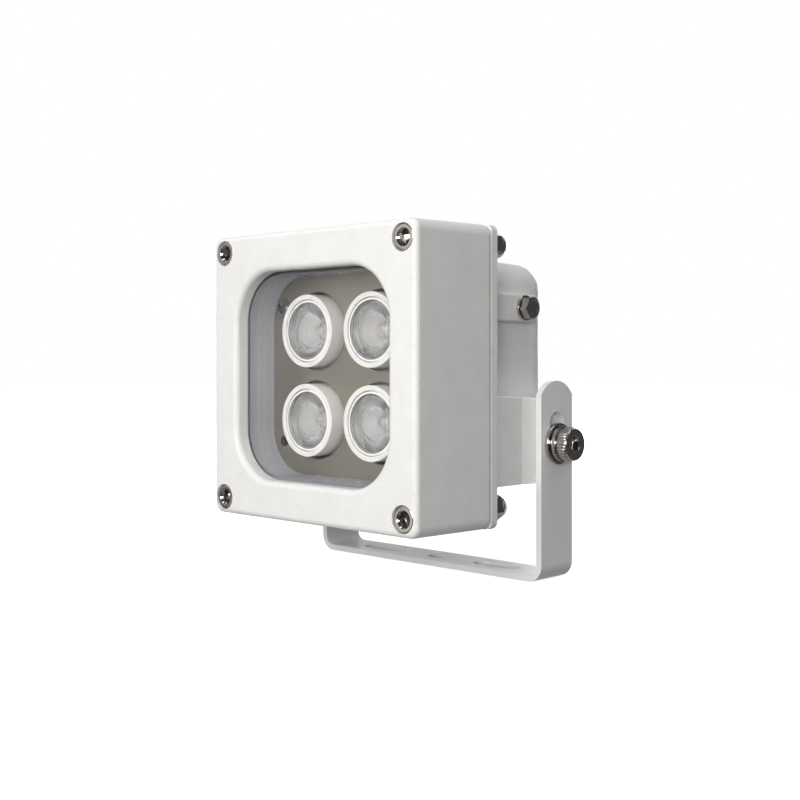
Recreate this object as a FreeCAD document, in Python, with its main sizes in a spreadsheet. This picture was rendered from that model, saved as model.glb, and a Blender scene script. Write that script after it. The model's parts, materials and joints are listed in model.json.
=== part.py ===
import FreeCAD, Part
import math
import os

import Sketcher
from FreeCAD import Placement, Rotation, Vector

# White light illuminator: a square lamp head with four lenses, held in a U-bracket.
# Frame of the part: origin on the underside of the bracket's base, at its centre hole,
# +Z up, and the lamp's window facing -Y. Lengths are in millimetres, angles in degrees.

SIZES = {
    # Where the tilt axis lies: above the base, behind the window's face, below its centre
    "pivot_height": 53.0,
    "pivot_setback": 75.5,
    "pivot_drop": 26.0,
    # Front casting
    "housing_width": 112.0,
    "housing_depth": 40.0,
    "housing_flare": 0.5,
    "housing_corner": 4.0,
    "front_round": 2.2,
    "rim_round": 0.8,
    "housing_wall": 4.0,
    "front_wall": 6.0,
    "pillar_width": 13.0,
    "pillar_round": 2.0,
    "window_border": 14.0,
    "window_top_border": 15.0,
    "window_corner": 20.0,
    "window_round": 2.3,
    # Screws through the corner pillars, M6 with a socket head, and their dome nuts
    "corner_inset": 6.6,
    "corner_screw": 6.0,
    "corner_screw_hole": 6.6,
    "corner_head": 9.8,
    "corner_head_height": 6.0,
    "corner_socket": 5.0,
    "corner_socket_depth": 3.0,
    "screw_bevel": 0.5,
    "counterbore": 10.2,
    "counterbore_depth": 6.4,
    "dome_nut": 10.0,
    "dome_nut_height": 12.0,
    "dome_nut_hex_height": 6.5,
    "dome_nut_dome": 9.5,
    "dome_nut_thread": 8.0,
    # Glass, its seal and the frame that presses on it
    "glass_lap": 4.5,
    "glass_corner": 18.0,
    "glass_thickness": 4.0,
    "seal_thickness": 0.8,
    "seal_skirt": 1.0,
    "seal_clearance": 0.1,
    "seal_inset": 0.4,
    "frame_lap": 1.25,
    "frame_depth": 13.2,
    "frame_side_wall": 3.75,
    "frame_top_wall": 7.75,
    "frame_corner": 18.0,
    # Lens plate, with its pillars and screws
    "lens_plate_lap": 1.5,
    "lens_plate_thickness": 1.5,
    "lens_hole_clearance": 1.3,
    "plate_screw_inset": 8.0,
    "plate_screw_level": 27.3,
    "plate_screw": 4.0,
    "plate_screw_hole": 4.5,
    "plate_screw_length": 8.0,
    "pan_head": 8.0,
    "pan_head_height": 2.6,
    "pan_edge": 0.8,
    "pan_recess": 1.2,
    "pan_recess_length": 4.2,
    "pan_recess_depth": 1.5,
    "plate_pillar": 7.0,
    # Lens holders and lenses
    "holder_gap": 6.5,
    "holder_margin": 13.25,
    "holder_stand": 6.0,
    "holder_rim": 1.1,
    "holder_lip": 0.8,
    "holder_seat": 1.2,
    "holder_shoulder": 2.4,
    "holder_floor": 1.5,
    "holder_light_hole": 12.0,
    "lens_clearance": 0.1,
    "lens_step": 0.9,
    "lens_step_inset": 0.2,
    "lens_rim_bevel": 0.6,
    "lens_neck_inset": 0.8,
    "lens_flank": 20.0,
    "lens_mouth_inset": 1.4,
    "lens_throat": 9.0,
    "lens_length": 13.0,
    "lens_bowl_depth": 2.2,
    "lens_bubble_inset": 4.5,
    "lens_bubble_rise": 1.8,
    "lens_pocket": 6.4,
    "lens_pocket_depth": 4.5,
    # Light sources, their board and the plate that takes their heat
    "led_width": 3.5,
    "led_corner": 0.2,
    "led_base": 0.8,
    "led_dome": 2.8,
    "led_board_thickness": 2.0,
    "board_corner": 3.0,
    "heat_plate_lap": 2.0,
    "heat_plate_gap": 4.0,
    "heat_plate_thickness": 4.0,
    "heat_screw_inset": 4.0,
    "heat_screw_level": 12.0,
    "heat_screw_length": 10.0,
    # Rear casting
    "rim_gasket": 0.8,
    "rim_gasket_inset": 1.2,
    "flange_thickness": 3.2,
    "flange_corner": 3.0,
    "box_inset": 10.0,
    "box_bottom_inset": 15.0,
    "box_depth": 46.5,
    "box_top_slope": 1.6,
    "box_round": 11.0,
    "box_wall": 4.0,
    "cavity_round": 3.0,
    "box_pillar": 9.0,
    "side_block_stand": 2.0,
    "side_block_top": 7.0,
    "side_block_slope": 2.2,
    "side_block_inset": 4.0,
    "side_block_step": 15.5,
    "side_block_ramp": 6.5,
    "side_block_round": 0.8,
    # Earth boss on the upper right side, with an M5 hex screw
    "earth_boss_height": 10.6,
    "earth_boss_centre": 26.5,
    "earth_boss_stand": 4.0,
    "earth_boss_length": 33.5,
    "earth_boss_round": 2.0,
    "earth_boss_edge": 0.8,
    "earth_screw_setback": 69.0,
    "earth_screw": 5.0,
    "earth_screw_length": 7.0,
    "earth_head": 8.0,
    "earth_head_height": 3.5,
    "earth_washer": 10.0,
    "earth_washer_thickness": 1.0,
    # Cable gland in the rear wall
    "gland_rise": 21.0,
    "gland_thread": 16.0,
    "gland_hex": 20.0,
    "gland_hex_height": 5.0,
    "gland_neck": 14.6,
    "gland_neck_height": 6.0,
    "gland_cap_hex": 20.0,
    "gland_cap_hex_height": 8.0,
    "gland_cap_height": 13.0,
    "gland_cap_round": 4.0,
    "gland_cap_mouth": 11.0,
    "gland_cap_lip": 2.0,
    "gland_thread_end": 1.0,
    "gland_bore": 8.0,
    "gland_throat": 11.4,
    "locknut": 22.0,
    "locknut_height": 3.0,
    # Driver in the rear box
    "driver_clearance": 0.5,
    "driver_height": 40.0,
    "driver_top_gap": 3.6,
    "driver_board_thickness": 1.6,
    "driver_pillar": 6.0,
    "driver_pillar_height": 8.0,
    "driver_pillar_inset": 4.0,
    "transformer_width": 20.0,
    "transformer_height": 18.0,
    "transformer_depth": 16.0,
    "transformer_offset": 13.0,
    "capacitor": 10.0,
    "capacitor_height": 16.0,
    "near_capacitor_offset": 6.5,
    "far_capacitor_offset": 20.0,
    "terminal_width": 20.0,
    "terminal_height": 9.0,
    "terminal_depth": 10.0,
    "terminal_bevel": 2.0,
    "terminal_inset": 1.5,
    # U-bracket, folded from one strip
    "strip_thickness": 2.5,
    "strip_width": 20.0,
    "ear_clearance": 0.1,
    "bend_radius": 4.0,
    "ear_top": 24.2,
    "ear_crown": 12.0,
    "ear_slot_width": 9.0,
    "ear_slot_travel": 7.8,
    "base_hole": 9.6,
    "base_slot_width": 8.5,
    "base_slot_centre": 31.0,
    "base_slot_length": 22.0,
    # Clamp bolts, M8 with a low knurled socket head, and their washers
    "clamp_bolt": 8.0,
    "clamp_bolt_length": 16.0,
    "clamp_head": 13.0,
    "clamp_head_height": 5.0,
    "clamp_socket": 5.0,
    "clamp_socket_depth": 3.0,
    "flat_washer": 16.0,
    "flat_washer_thickness": 1.6,
    "spring_washer": 13.8,
    "spring_washer_thickness": 2.0,
    "spring_washer_cut": 1.0,
    "washer_bore": 8.4,
    # Clearances: a turning fit, and the play round a fixed screw's thread
    "turning_clearance": 0.05,
    "thread_clearance": 0.05,
}

DOC = FreeCAD.newDocument("white_light_illuminator")
SHEET = DOC.addObject("Spreadsheet::Sheet", "sizes")
for row, (alias, size) in enumerate(SIZES.items(), start=1):
    SHEET.set(f"A{row}", alias)
    SHEET.set(f"B{row}", str(size))
    SHEET.setAlias(f"B{row}", alias)
DOC.recompute()

# Planes of the head, as distances behind its front face
GLASS_FRONT = "(sizes.front_wall + sizes.seal_thickness)"
GLASS_REAR = f"({GLASS_FRONT} + sizes.glass_thickness)"
PLATE_FRONT = f"({GLASS_REAR} + sizes.frame_depth)"
PLATE_REAR = f"({PLATE_FRONT} + sizes.lens_plate_thickness)"
HOLDER_FRONT = f"({PLATE_FRONT} - sizes.holder_stand)"
FLANGE_FRONT = "(sizes.housing_depth + sizes.rim_gasket)"
FLANGE_REAR = f"({FLANGE_FRONT} + sizes.flange_thickness)"
HEAT_FRONT = f"({FLANGE_FRONT} - sizes.heat_plate_thickness)"
BOARD_FRONT = f"({HEAT_FRONT} - sizes.led_board_thickness)"
BOX_REAR = f"({FLANGE_REAR} + sizes.box_depth)"
BOX_INNER_REAR = f"({BOX_REAR} - sizes.box_wall)"

# Half widths and places that several pieces share, from the head's centre
HOUSING_HALF = "(sizes.housing_width / 2)"
RIM_HALF = f"({HOUSING_HALF} + sizes.housing_flare)"
PILLAR_INNER = f"({HOUSING_HALF} - sizes.pillar_width)"
CORNER = f"({HOUSING_HALF} - sizes.corner_inset)"
WINDOW_HALF = f"({HOUSING_HALF} - sizes.window_border)"
WINDOW_TOP = f"({HOUSING_HALF} - sizes.window_top_border)"
GLASS_HALF = f"({WINDOW_HALF} + sizes.glass_lap)"
FRAME_HALF = f"({GLASS_HALF} + sizes.frame_lap)"
LENS_PLATE_HALF = f"({FRAME_HALF} - sizes.frame_side_wall + sizes.lens_plate_lap)"
PLATE_SCREW = f"({LENS_PLATE_HALF} - sizes.plate_screw_inset)"
HOLDER_HALF = f"(({LENS_PLATE_HALF} - sizes.holder_gap / 2 - sizes.holder_margin) / 2)"
LIP_HALF = f"({HOLDER_HALF} - sizes.holder_rim)"
BORE_HALF = f"({LIP_HALF} - sizes.holder_seat)"
LENS = f"({HOLDER_HALF} + sizes.holder_gap / 2)"
LED_BOARD_HALF = f"({LENS} + {HOLDER_HALF})"
BOX_HALF = f"({HOUSING_HALF} - sizes.box_inset)"
BOX_TOP = BOX_HALF
BOX_BOTTOM = f"({HOUSING_HALF} - sizes.box_bottom_inset)"
CAVITY_HALF = f"({BOX_HALF} - sizes.box_wall)"
CAVITY_TOP = f"({BOX_TOP} - sizes.box_top_slope - sizes.box_wall)"
GLAND_LEVEL = f"(sizes.gland_rise - {BOX_BOTTOM})"
HEAT_SCREW = f"({CAVITY_HALF} - sizes.heat_screw_inset)"
BLOCK_HALF = f"({HOUSING_HALF} + sizes.side_block_stand)"
EAR_INNER = f"({BLOCK_HALF} + sizes.ear_clearance)"
EAR_OUTER = f"({EAR_INNER} + sizes.strip_thickness)"
WASHER_OUTER = f"({EAR_OUTER} + sizes.ear_clearance + sizes.flat_washer_thickness)"
BOLT_SEAT = f"({WASHER_OUTER} + sizes.spring_washer_thickness)"
BOSS_FACE = f"({BOX_HALF} + sizes.earth_boss_stand)"

HEAD_PLACE = ("0", "-sizes.pivot_setback", "sizes.pivot_height + sizes.pivot_drop")
FACING_FRONT = Rotation(Vector(1, 0, 0), 90)
FACING_REAR = Rotation(Vector(1, 0, 0), -90)
FACING_RIGHT = Rotation(Vector(0, 1, 0), 90)
FACING_LEFT = Rotation(Vector(0, 1, 0), -90)

SIDES = (("left", "-", FACING_LEFT), ("right", "", FACING_RIGHT))
CORNERS = (
    ("top_left", "-", ""),
    ("top_right", "", ""),
    ("bottom_left", "-", "-"),
    ("bottom_right", "", "-"),
)
# Side of an arc's centre, seen along the outline
LEFT = 1
RIGHT = -1
# Length by which a cut runs past what it trims
MARGIN = "1"
# Slack when edges are picked by their place
TOUCH = 0.01
PARTS = []


def value(expression):
    """Number that an expression of sheet sizes stands for."""
    return float(SHEET.evalExpression(expression))


def place(piece, across, along, up, turn=None):
    """Puts a piece at three expressions, with an optional turn."""
    piece.Placement = Placement(Vector(), turn or Rotation())
    piece.setExpression("Placement.Base.x", across)
    piece.setExpression("Placement.Base.y", along)
    piece.setExpression("Placement.Base.z", up)


def new_body(label, spot=HEAD_PLACE, turn=None, keep=True):
    """Empty body at a place; a kept one is written out under its label."""
    body = DOC.addObject("PartDesign::Body", label)
    body.Label = label
    place(body, *spot, turn)
    if keep:
        PARTS.append(body)
    return body


def new_sketch(body, name, plane, offset="0"):
    """Sketch on one of the body's own planes, moved along that plane's normal."""
    sketch = body.newObject("Sketcher::SketchObject", f"{body.Name}_{name}")
    datum = next(item for item in body.Origin.OriginFeatures if item.Role == plane)
    sketch.AttachmentSupport = [(datum, "")]
    sketch.MapMode = "FlatFace"
    sketch.setExpression("AttachmentOffset.Base.z", offset)
    return sketch


def face_sketch(body, name, depth="0"):
    """Sketch parallel to the head's front face, at a depth behind it."""
    return new_sketch(body, name, "XZ_Plane", f"-({depth})")


def bind(sketch, kind, expression, *geometry):
    """Dimension of a sketch that follows an expression."""
    index = sketch.addConstraint(Sketcher.Constraint(kind, *geometry, value(expression)))
    sketch.setExpression(f"Constraints[{index}]", expression)


def pin_point(sketch, element, point, across, up):
    """Holds a sketch point at two expressions measured from the origin."""
    bind(sketch, "DistanceX", across, -1, 1, element, point)
    bind(sketch, "DistanceY", up, -1, 1, element, point)


def arc_between(start, end, radius, side):
    """Shorter arc between two points, with its centre on one side of the way."""
    chord = end - start
    across = Vector(-chord.y, chord.x, 0).normalize() * side
    centre = (start + end) * 0.5 + across * math.sqrt(radius ** 2 - (chord.Length / 2) ** 2)
    return Part.Arc(start, centre - across * radius, end)


def outline(sketch, corners, arcs=None):
    """Closed outline through pairs of expressions.

    arcs maps the number of a side to its radius and to the side its centre is on;
    every other side is straight.
    """
    arcs = arcs or {}
    spots = [Vector(value(across), value(up), 0) for across, up in corners]
    first = sketch.GeometryCount
    count = len(spots)
    starts = []
    ends = []
    for index in range(count):
        start, end = spots[index], spots[(index + 1) % count]
        if index in arcs:
            radius, side = arcs[index]
            sketch.addGeometry(arc_between(start, end, value(radius), side), False)
            bind(sketch, "Radius", radius, first + index)
        else:
            side = LEFT
            sketch.addGeometry(Part.LineSegment(start, end), False)
        starts.append(1 if side == LEFT else 2)
        ends.append(2 if side == LEFT else 1)
    for index in range(count):
        after = (index + 1) % count
        sketch.addConstraint(Sketcher.Constraint(
            "Coincident", first + index, ends[index], first + after, starts[after]))
        pin_point(sketch, first + index, starts[index], *corners[index])


def circle(sketch, across, up, diameter):
    """Circle at two expressions."""
    centre = Vector(value(across), value(up), 0)
    index = sketch.addGeometry(Part.Circle(centre, Vector(0, 0, 1), value(diameter) / 2), False)
    pin_point(sketch, index, 3, across, up)
    bind(sketch, "Diameter", diameter, index)


def rounded_box(sketch, left, right, bottom, top, corner):
    """Rectangle between four expressions, with its corners rounded."""
    low_x, high_x, low_y, high_y = (value(side) for side in (left, right, bottom, top))
    radius = value(corner)
    centres = (
        (high_x - radius, low_y + radius, -90),
        (high_x - radius, high_y - radius, 0),
        (low_x + radius, high_y - radius, 90),
        (low_x + radius, low_y + radius, 180),
    )
    first = sketch.GeometryCount
    arcs = []
    for centre_x, centre_y, start in centres:
        ring = Part.Circle(Vector(centre_x, centre_y, 0), Vector(0, 0, 1), radius)
        arcs.append(Part.ArcOfCircle(ring, math.radians(start), math.radians(start + 90)))
    for index, arc in enumerate(arcs):
        before = arcs[index - 1]
        sketch.addGeometry(Part.LineSegment(before.EndPoint, arc.StartPoint), False)
        sketch.addGeometry(arc, False)
    for index in range(8):
        after = first + (index + 1) % 8
        sketch.addConstraint(Sketcher.Constraint("Tangent", first + index, 2, after, 1))
    for index, direction in enumerate(("Horizontal", "Vertical", "Horizontal", "Vertical")):
        sketch.addConstraint(Sketcher.Constraint(direction, first + 2 * index))
    for index in (3, 5, 7):
        sketch.addConstraint(Sketcher.Constraint("Equal", first + 1, first + index))
    bind(sketch, "Radius", corner, first + 1)
    bind(sketch, "DistanceY", bottom, -1, 1, first, 1)
    bind(sketch, "DistanceX", right, -1, 1, first + 2, 1)
    bind(sketch, "DistanceY", top, -1, 1, first + 4, 1)
    bind(sketch, "DistanceX", left, -1, 1, first + 6, 1)


def rounded_square(sketch, half, corner, half_height=None):
    """Rounded rectangle centred on the sketch's origin."""
    half_height = half_height or half
    rounded_box(sketch, f"-{half}", half, f"-{half_height}", half_height, corner)


def slot(sketch, start, end, width):
    """Slot with round ends, between the centres of its two end arcs."""
    begin, finish = (Vector(value(spot[0]), value(spot[1]), 0) for spot in (start, end))
    radius = value(width) / 2
    along = (finish - begin).normalize()
    side = Vector(-along.y, along.x, 0) * radius
    near_arc = Part.Arc(begin + side, begin - along * radius, begin - side)
    far_arc = Part.Arc(finish - side, finish + along * radius, finish + side)
    first = sketch.GeometryCount
    sketch.addGeometry(near_arc, False)
    sketch.addGeometry(Part.LineSegment(begin - side, finish - side), False)
    sketch.addGeometry(far_arc, False)
    sketch.addGeometry(Part.LineSegment(finish + side, begin + side), False)
    for index in range(4):
        after = first + (index + 1) % 4
        sketch.addConstraint(Sketcher.Constraint("Tangent", first + index, 2, after, 1))
    sketch.addConstraint(Sketcher.Constraint("Equal", first, first + 2))
    bind(sketch, "Radius", f"{width} / 2", first)
    pin_point(sketch, first, 3, *start)
    pin_point(sketch, first + 2, 3, *end)


def hexagon(sketch, across_flats, across="0", up="0"):
    """Hexagon with corners above and below its centre."""
    tip = f"({across_flats} / sqrt(3))"
    half = f"({across_flats} / 2)"
    corners = (("0", tip), (half, f"{tip} / 2"), (half, f"-{tip} / 2"),
               ("0", f"-{tip}"), (f"-{half}", f"-{tip} / 2"), (f"-{half}", f"{tip} / 2"))
    outline(sketch, [(f"{across} + {right}", f"{up} + {rise}") for right, rise in corners])


def feature(kind, sketch, name, length=None, backward=False, midplane=False):
    """Pad or pocket of a sketch; with no length it goes through everything."""
    body = sketch.getParentGeoFeatureGroup()
    step = body.newObject(f"PartDesign::{kind}", f"{body.Name}_{name}")
    step.Profile = sketch
    step.Reversed = backward
    step.Midplane = midplane
    if length is None:
        step.Type = "ThroughAll"
    else:
        step.setExpression("Length", length)
    sketch.Visibility = False
    DOC.recompute()
    return step


def pad(sketch, name, length, **options):
    """Adds the sketch's area over a length."""
    return feature("Pad", sketch, name, length, **options)


def pocket(sketch, name, length=None, **options):
    """Cuts the sketch's area away over a length."""
    return feature("Pocket", sketch, name, length, **options)


def face_pad(sketch, name, length):
    """Pad from the front of the head towards its rear."""
    return pad(sketch, name, length, backward=True)


def revolve(sketch, name):
    """Solid of revolution about the sketch's own upright axis."""
    body = sketch.getParentGeoFeatureGroup()
    step = body.newObject("PartDesign::Revolution", f"{body.Name}_{name}")
    step.Profile = sketch
    step.ReferenceAxis = (sketch, ["V_Axis"])
    step.Angle = 360
    sketch.Visibility = False
    DOC.recompute()
    return step


def edges_within(step, low, high):
    """Names of the edges of a step that lie wholly inside a box."""
    space = FreeCAD.BoundBox(*(low - Vector(TOUCH, TOUCH, TOUCH)), *(high + Vector(TOUCH, TOUCH, TOUCH)))
    names = []
    for number, edge in enumerate(step.Shape.Edges, start=1):
        if space.isInside(edge.BoundBox):
            names.append(f"Edge{number}")
    return names


def fillet(step, name, edges, radius):
    """Rounds named edges."""
    body = step.getParentGeoFeatureGroup()
    rounding = body.newObject("PartDesign::Fillet", f"{body.Name}_{name}")
    rounding.Base = (step, edges)
    rounding.setExpression("Radius", radius)
    DOC.recompute()
    return rounding


def cap_radius(half_width, rise):
    """Radius of a sphere whose cap has a half width and a rise."""
    return f"(({half_width}) ^ 2 + ({rise}) ^ 2) / (2 * ({rise}))"


def dome(sketch, low, radius, top):
    """Half section of a round bar that ends in a dome."""
    neck = f"{top} - {radius}"
    outline(sketch, (("0", low), (radius, low), (radius, neck), ("0", top)), {2: (radius, LEFT)})


def four_circles(sketch, half_x, half_z, diameter):
    """Circle at each corner of a rectangle about the origin."""
    for _, side, level in CORNERS:
        circle(sketch, f"{side}{half_x}", f"{level}{half_z}", diameter)


def group(label, bodies):
    """Like pieces that share one file, each still a solid of its own."""
    cluster = DOC.addObject("Part::Compound", label)
    cluster.Label = label
    cluster.Links = bodies
    PARTS.append(cluster)
    return cluster


def front_housing():
    """Front casting: drafted walls, window with a rounded edge, four corner pillars."""
    body = new_body("front_housing")
    walls = face_sketch(body, "walls")
    rounded_square(walls, HOUSING_HALF, "sizes.housing_corner")
    shell = face_pad(walls, "shell", "sizes.housing_depth")
    shell.setExpression("TaperAngle", "atan(sizes.housing_flare / sizes.housing_depth)")
    DOC.recompute()
    reach = value(RIM_HALF)
    depth = value("sizes.housing_depth")
    front_edges = edges_within(shell, Vector(-reach, 0, -reach), Vector(reach, 0, reach))
    shell = fillet(shell, "front_round", front_edges, "sizes.front_round")
    rim_edges = edges_within(shell, Vector(-reach, depth, -reach), Vector(reach, depth, reach))
    shell = fillet(shell, "rim_round", rim_edges, "sizes.rim_round")

    window = face_sketch(body, "window")
    rounded_square(window, WINDOW_HALF, "sizes.window_corner", WINDOW_TOP)
    shell = pocket(window, "window_cut")
    half = max(value(WINDOW_HALF), value(WINDOW_TOP))
    window_edges = edges_within(shell, Vector(-half, 0, -half), Vector(half, 0, half))
    fillet(shell, "window_round", window_edges, "sizes.window_round")

    inside = f"({HOUSING_HALF} - sizes.housing_wall)"
    for name, half_x, half_z in (("wide", inside, PILLAR_INNER), ("tall", PILLAR_INNER, inside)):
        cavity = face_sketch(body, f"{name}_cavity", "sizes.front_wall")
        rounded_square(cavity, half_x, "sizes.pillar_round", half_z)
        pocket(cavity, f"{name}_cavity_cut")

    holes = face_sketch(body, "screw_holes")
    four_circles(holes, CORNER, CORNER, "sizes.corner_screw_hole")
    pocket(holes, "screw_hole_cuts")
    seats = face_sketch(body, "screw_seats")
    four_circles(seats, CORNER, CORNER, "sizes.counterbore")
    pocket(seats, "counterbores", "sizes.counterbore_depth")


def window_seal():
    """Silicone ring with an L section: under the glass and round its edge."""
    body = new_body("window_gasket")
    nest = f"({GLASS_HALF} + sizes.seal_clearance)"
    nest_corner = "(sizes.glass_corner + sizes.seal_clearance)"
    ring = face_sketch(body, "ring", "sizes.front_wall")
    rounded_square(ring, f"({nest} + sizes.seal_skirt)", f"{nest_corner} + sizes.seal_skirt")
    face_pad(ring, "ring_pad", "sizes.seal_thickness + sizes.glass_thickness")
    opening = face_sketch(body, "opening", "sizes.front_wall")
    rounded_square(opening, f"({WINDOW_HALF} + sizes.seal_inset)",
                   "sizes.window_corner + sizes.seal_inset")
    pocket(opening, "opening_cut")
    bed = face_sketch(body, "bed", GLASS_FRONT)
    rounded_square(bed, nest, nest_corner)
    pocket(bed, "bed_cut")


def window_glass():
    """Flat toughened pane with rounded corners."""
    body = new_body("window_glass")
    pane = face_sketch(body, "pane", GLASS_FRONT)
    rounded_square(pane, GLASS_HALF, "sizes.glass_corner")
    face_pad(pane, "pane_pad", "sizes.glass_thickness")


def inner_frame():
    """White frame between the pane and the lens plate."""
    body = new_body("inner_frame")
    ring = face_sketch(body, "ring", GLASS_REAR)
    rounded_square(ring, FRAME_HALF, "sizes.frame_corner")
    face_pad(ring, "ring_pad", "sizes.frame_depth")
    opening = face_sketch(body, "opening", GLASS_REAR)
    rounded_square(opening, f"({FRAME_HALF} - sizes.frame_side_wall)", "sizes.frame_corner",
                   f"({FRAME_HALF} - sizes.frame_top_wall)")
    pocket(opening, "opening_cut")


def lens_plate():
    """Brushed plate with a hole round each lens holder and four screw holes."""
    body = new_body("lens_plate")
    sheet = face_sketch(body, "sheet", PLATE_FRONT)
    rounded_square(sheet, LENS_PLATE_HALF, "sizes.frame_corner")
    face_pad(sheet, "sheet_pad", "sizes.lens_plate_thickness")
    openings = face_sketch(body, "lens_holes", PLATE_FRONT)
    four_circles(openings, LENS, LENS, f"2 * ({HOLDER_HALF} + sizes.lens_hole_clearance)")
    pocket(openings, "lens_hole_cuts")
    holes = face_sketch(body, "screw_holes", PLATE_FRONT)
    four_circles(holes, PLATE_SCREW, "sizes.plate_screw_level", "sizes.plate_screw_hole")
    pocket(holes, "screw_hole_cuts")


def lens_holder(corner, side, level):
    """Moulded cup that stands on the board and carries one lens on its shoulder."""
    spot = (f"{side}{LENS}", f"{HOLDER_FRONT} - sizes.pivot_setback",
            f"sizes.pivot_height + sizes.pivot_drop + {level}{LENS}")
    body = new_body(f"lens_holder_{corner}", spot)
    height = f"({BOARD_FRONT} - {HOLDER_FRONT})"
    light = "sizes.holder_light_hole / 2"
    floor = f"{height} - sizes.holder_floor"
    cup = new_sketch(body, "cup", "XY_Plane")
    outline(cup, (
        (HOLDER_HALF, "sizes.holder_lip"),
        (HOLDER_HALF, height),
        (light, height),
        (light, floor),
        (BORE_HALF, floor),
        (BORE_HALF, "sizes.holder_shoulder"),
        (LIP_HALF, "sizes.holder_shoulder"),
        (LIP_HALF, "0"),
        (f"{HOLDER_HALF} - sizes.holder_lip", "0"),
    ))
    revolve(cup, "cup_turn")


def lens(corner, side, level):
    """Clear collimator: stepped rim, shallow bowl with a bubble, and a pocket over its light source."""
    spot = (f"{side}{LENS}", f"{HOLDER_FRONT} - sizes.pivot_setback",
            f"sizes.pivot_height + sizes.pivot_drop + {level}{LENS}")
    body = new_body(f"lens_{corner}", spot)
    rim = f"({LIP_HALF} - sizes.lens_clearance)"
    mouth = f"({BORE_HALF} - sizes.lens_mouth_inset)"
    bubble = f"({mouth} - sizes.lens_bubble_inset)"
    half = new_sketch(body, "half_section", "XY_Plane")
    outline(half, (
        ("0", "sizes.lens_bowl_depth - sizes.lens_bubble_rise"),
        (bubble, "sizes.lens_bowl_depth"),
        (mouth, "sizes.lens_step"),
        (f"{BORE_HALF} - sizes.lens_step_inset", "sizes.lens_step"),
        (rim, "sizes.lens_step + sizes.lens_rim_bevel"),
        (rim, "sizes.holder_shoulder"),
        (f"{BORE_HALF} - sizes.lens_neck_inset", "sizes.holder_shoulder"),
        ("sizes.lens_throat / 2", "sizes.lens_length"),
        ("sizes.lens_pocket / 2", "sizes.lens_length"),
        ("sizes.lens_pocket / 2", "sizes.lens_length - sizes.lens_pocket_depth / 2"),
        ("0", "sizes.lens_length - sizes.lens_pocket_depth"),
    ), {
        0: (cap_radius(bubble, "sizes.lens_bubble_rise"), LEFT),
        6: ("sizes.lens_flank", LEFT),
        9: (cap_radius("sizes.lens_pocket / 2", "sizes.lens_pocket_depth / 2"), RIGHT),
    })
    revolve(half, "lens_turn")


def led(corner, side, level):
    """Light source: a square ceramic base with a clear dome."""
    spot = (f"{side}{LENS}", f"{BOARD_FRONT} - sizes.pivot_setback",
            f"sizes.pivot_height + sizes.pivot_drop + {level}{LENS}")
    body = new_body(f"led_{corner}", spot, FACING_FRONT, keep=False)
    base = new_sketch(body, "base", "XY_Plane")
    rounded_square(base, "(sizes.led_width / 2)", "sizes.led_corner")
    pad(base, "base_pad", "sizes.led_base")
    half = new_sketch(body, "half_section", "XZ_Plane")
    dome(half, "sizes.led_base / 2", "sizes.led_dome / 2", "sizes.led_base + sizes.led_dome / 2")
    revolve(half, "dome_turn")
    return body


def led_board():
    """Square metal-core board under the four holders."""
    body = new_body("led_board")
    board = face_sketch(body, "board", BOARD_FRONT)
    rounded_square(board, LED_BOARD_HALF, "sizes.board_corner")
    face_pad(board, "board_pad", "sizes.led_board_thickness")


def heat_plate():
    """Plate that carries the board and the pillars and takes the heat to the rear casting."""
    body = new_body("heat_plate")
    sheet = face_sketch(body, "sheet", HEAT_FRONT)
    rounded_square(sheet, f"({BOX_HALF} + sizes.heat_plate_lap)", "sizes.board_corner",
                   f"({PILLAR_INNER} - sizes.heat_plate_gap)")
    face_pad(sheet, "sheet_pad", "sizes.heat_plate_thickness")
    holes = face_sketch(body, "screw_holes", HEAT_FRONT)
    four_circles(holes, HEAT_SCREW, "sizes.heat_screw_level", "sizes.plate_screw_hole")
    pocket(holes, "screw_hole_cuts")


def plate_pillar(corner, side, level):
    """Hexagonal standoff with a thread in its front end."""
    spot = (f"{side}{PLATE_SCREW}", f"{HEAT_FRONT} - sizes.pivot_setback",
            f"sizes.pivot_height + sizes.pivot_drop + {level}sizes.plate_screw_level")
    body = new_body(f"plate_pillar_{corner}", spot, FACING_FRONT, keep=False)
    bar = new_sketch(body, "bar", "XY_Plane")
    hexagon(bar, "sizes.plate_pillar")
    pad(bar, "bar_pad", f"{HEAT_FRONT} - {PLATE_REAR}")
    thread = new_sketch(body, "thread", "XY_Plane", f"{HEAT_FRONT} - {PLATE_REAR}")
    circle(thread, "0", "0", "sizes.plate_screw + 2 * sizes.thread_clearance")
    pocket(thread, "thread_cut", "sizes.plate_screw_length")
    return body


def pan_screw(label, spot, length):
    """M4 screw with a low domed head and a cross recess."""
    body = new_body(label, spot, FACING_FRONT, keep=False)
    half = new_sketch(body, "half_section", "XZ_Plane")
    head = "sizes.pan_head / 2"
    outline(half, (
        ("0", "sizes.pan_head_height"),
        ("0", f"-{length}"),
        ("sizes.plate_screw / 2", f"-{length}"),
        ("sizes.plate_screw / 2", "0"),
        (head, "0"),
        (head, "sizes.pan_edge"),
    ), {5: (cap_radius(head, "sizes.pan_head_height - sizes.pan_edge"), LEFT)})
    revolve(half, "screw_turn")
    recess = new_sketch(body, "recess", "XY_Plane", "sizes.pan_head_height")
    arm = "sizes.pan_recess_length / 2"
    blade = "sizes.pan_recess / 2"
    outline(recess, (
        (arm, blade), (blade, blade), (blade, arm), (f"-{blade}", arm),
        (f"-{blade}", blade), (f"-{arm}", blade), (f"-{arm}", f"-{blade}"), (f"-{blade}", f"-{blade}"),
        (f"-{blade}", f"-{arm}"), (blade, f"-{arm}"), (blade, f"-{blade}"), (arm, f"-{blade}"),
    ))
    pocket(recess, "recess_cut", "sizes.pan_recess_depth")
    return body


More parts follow.
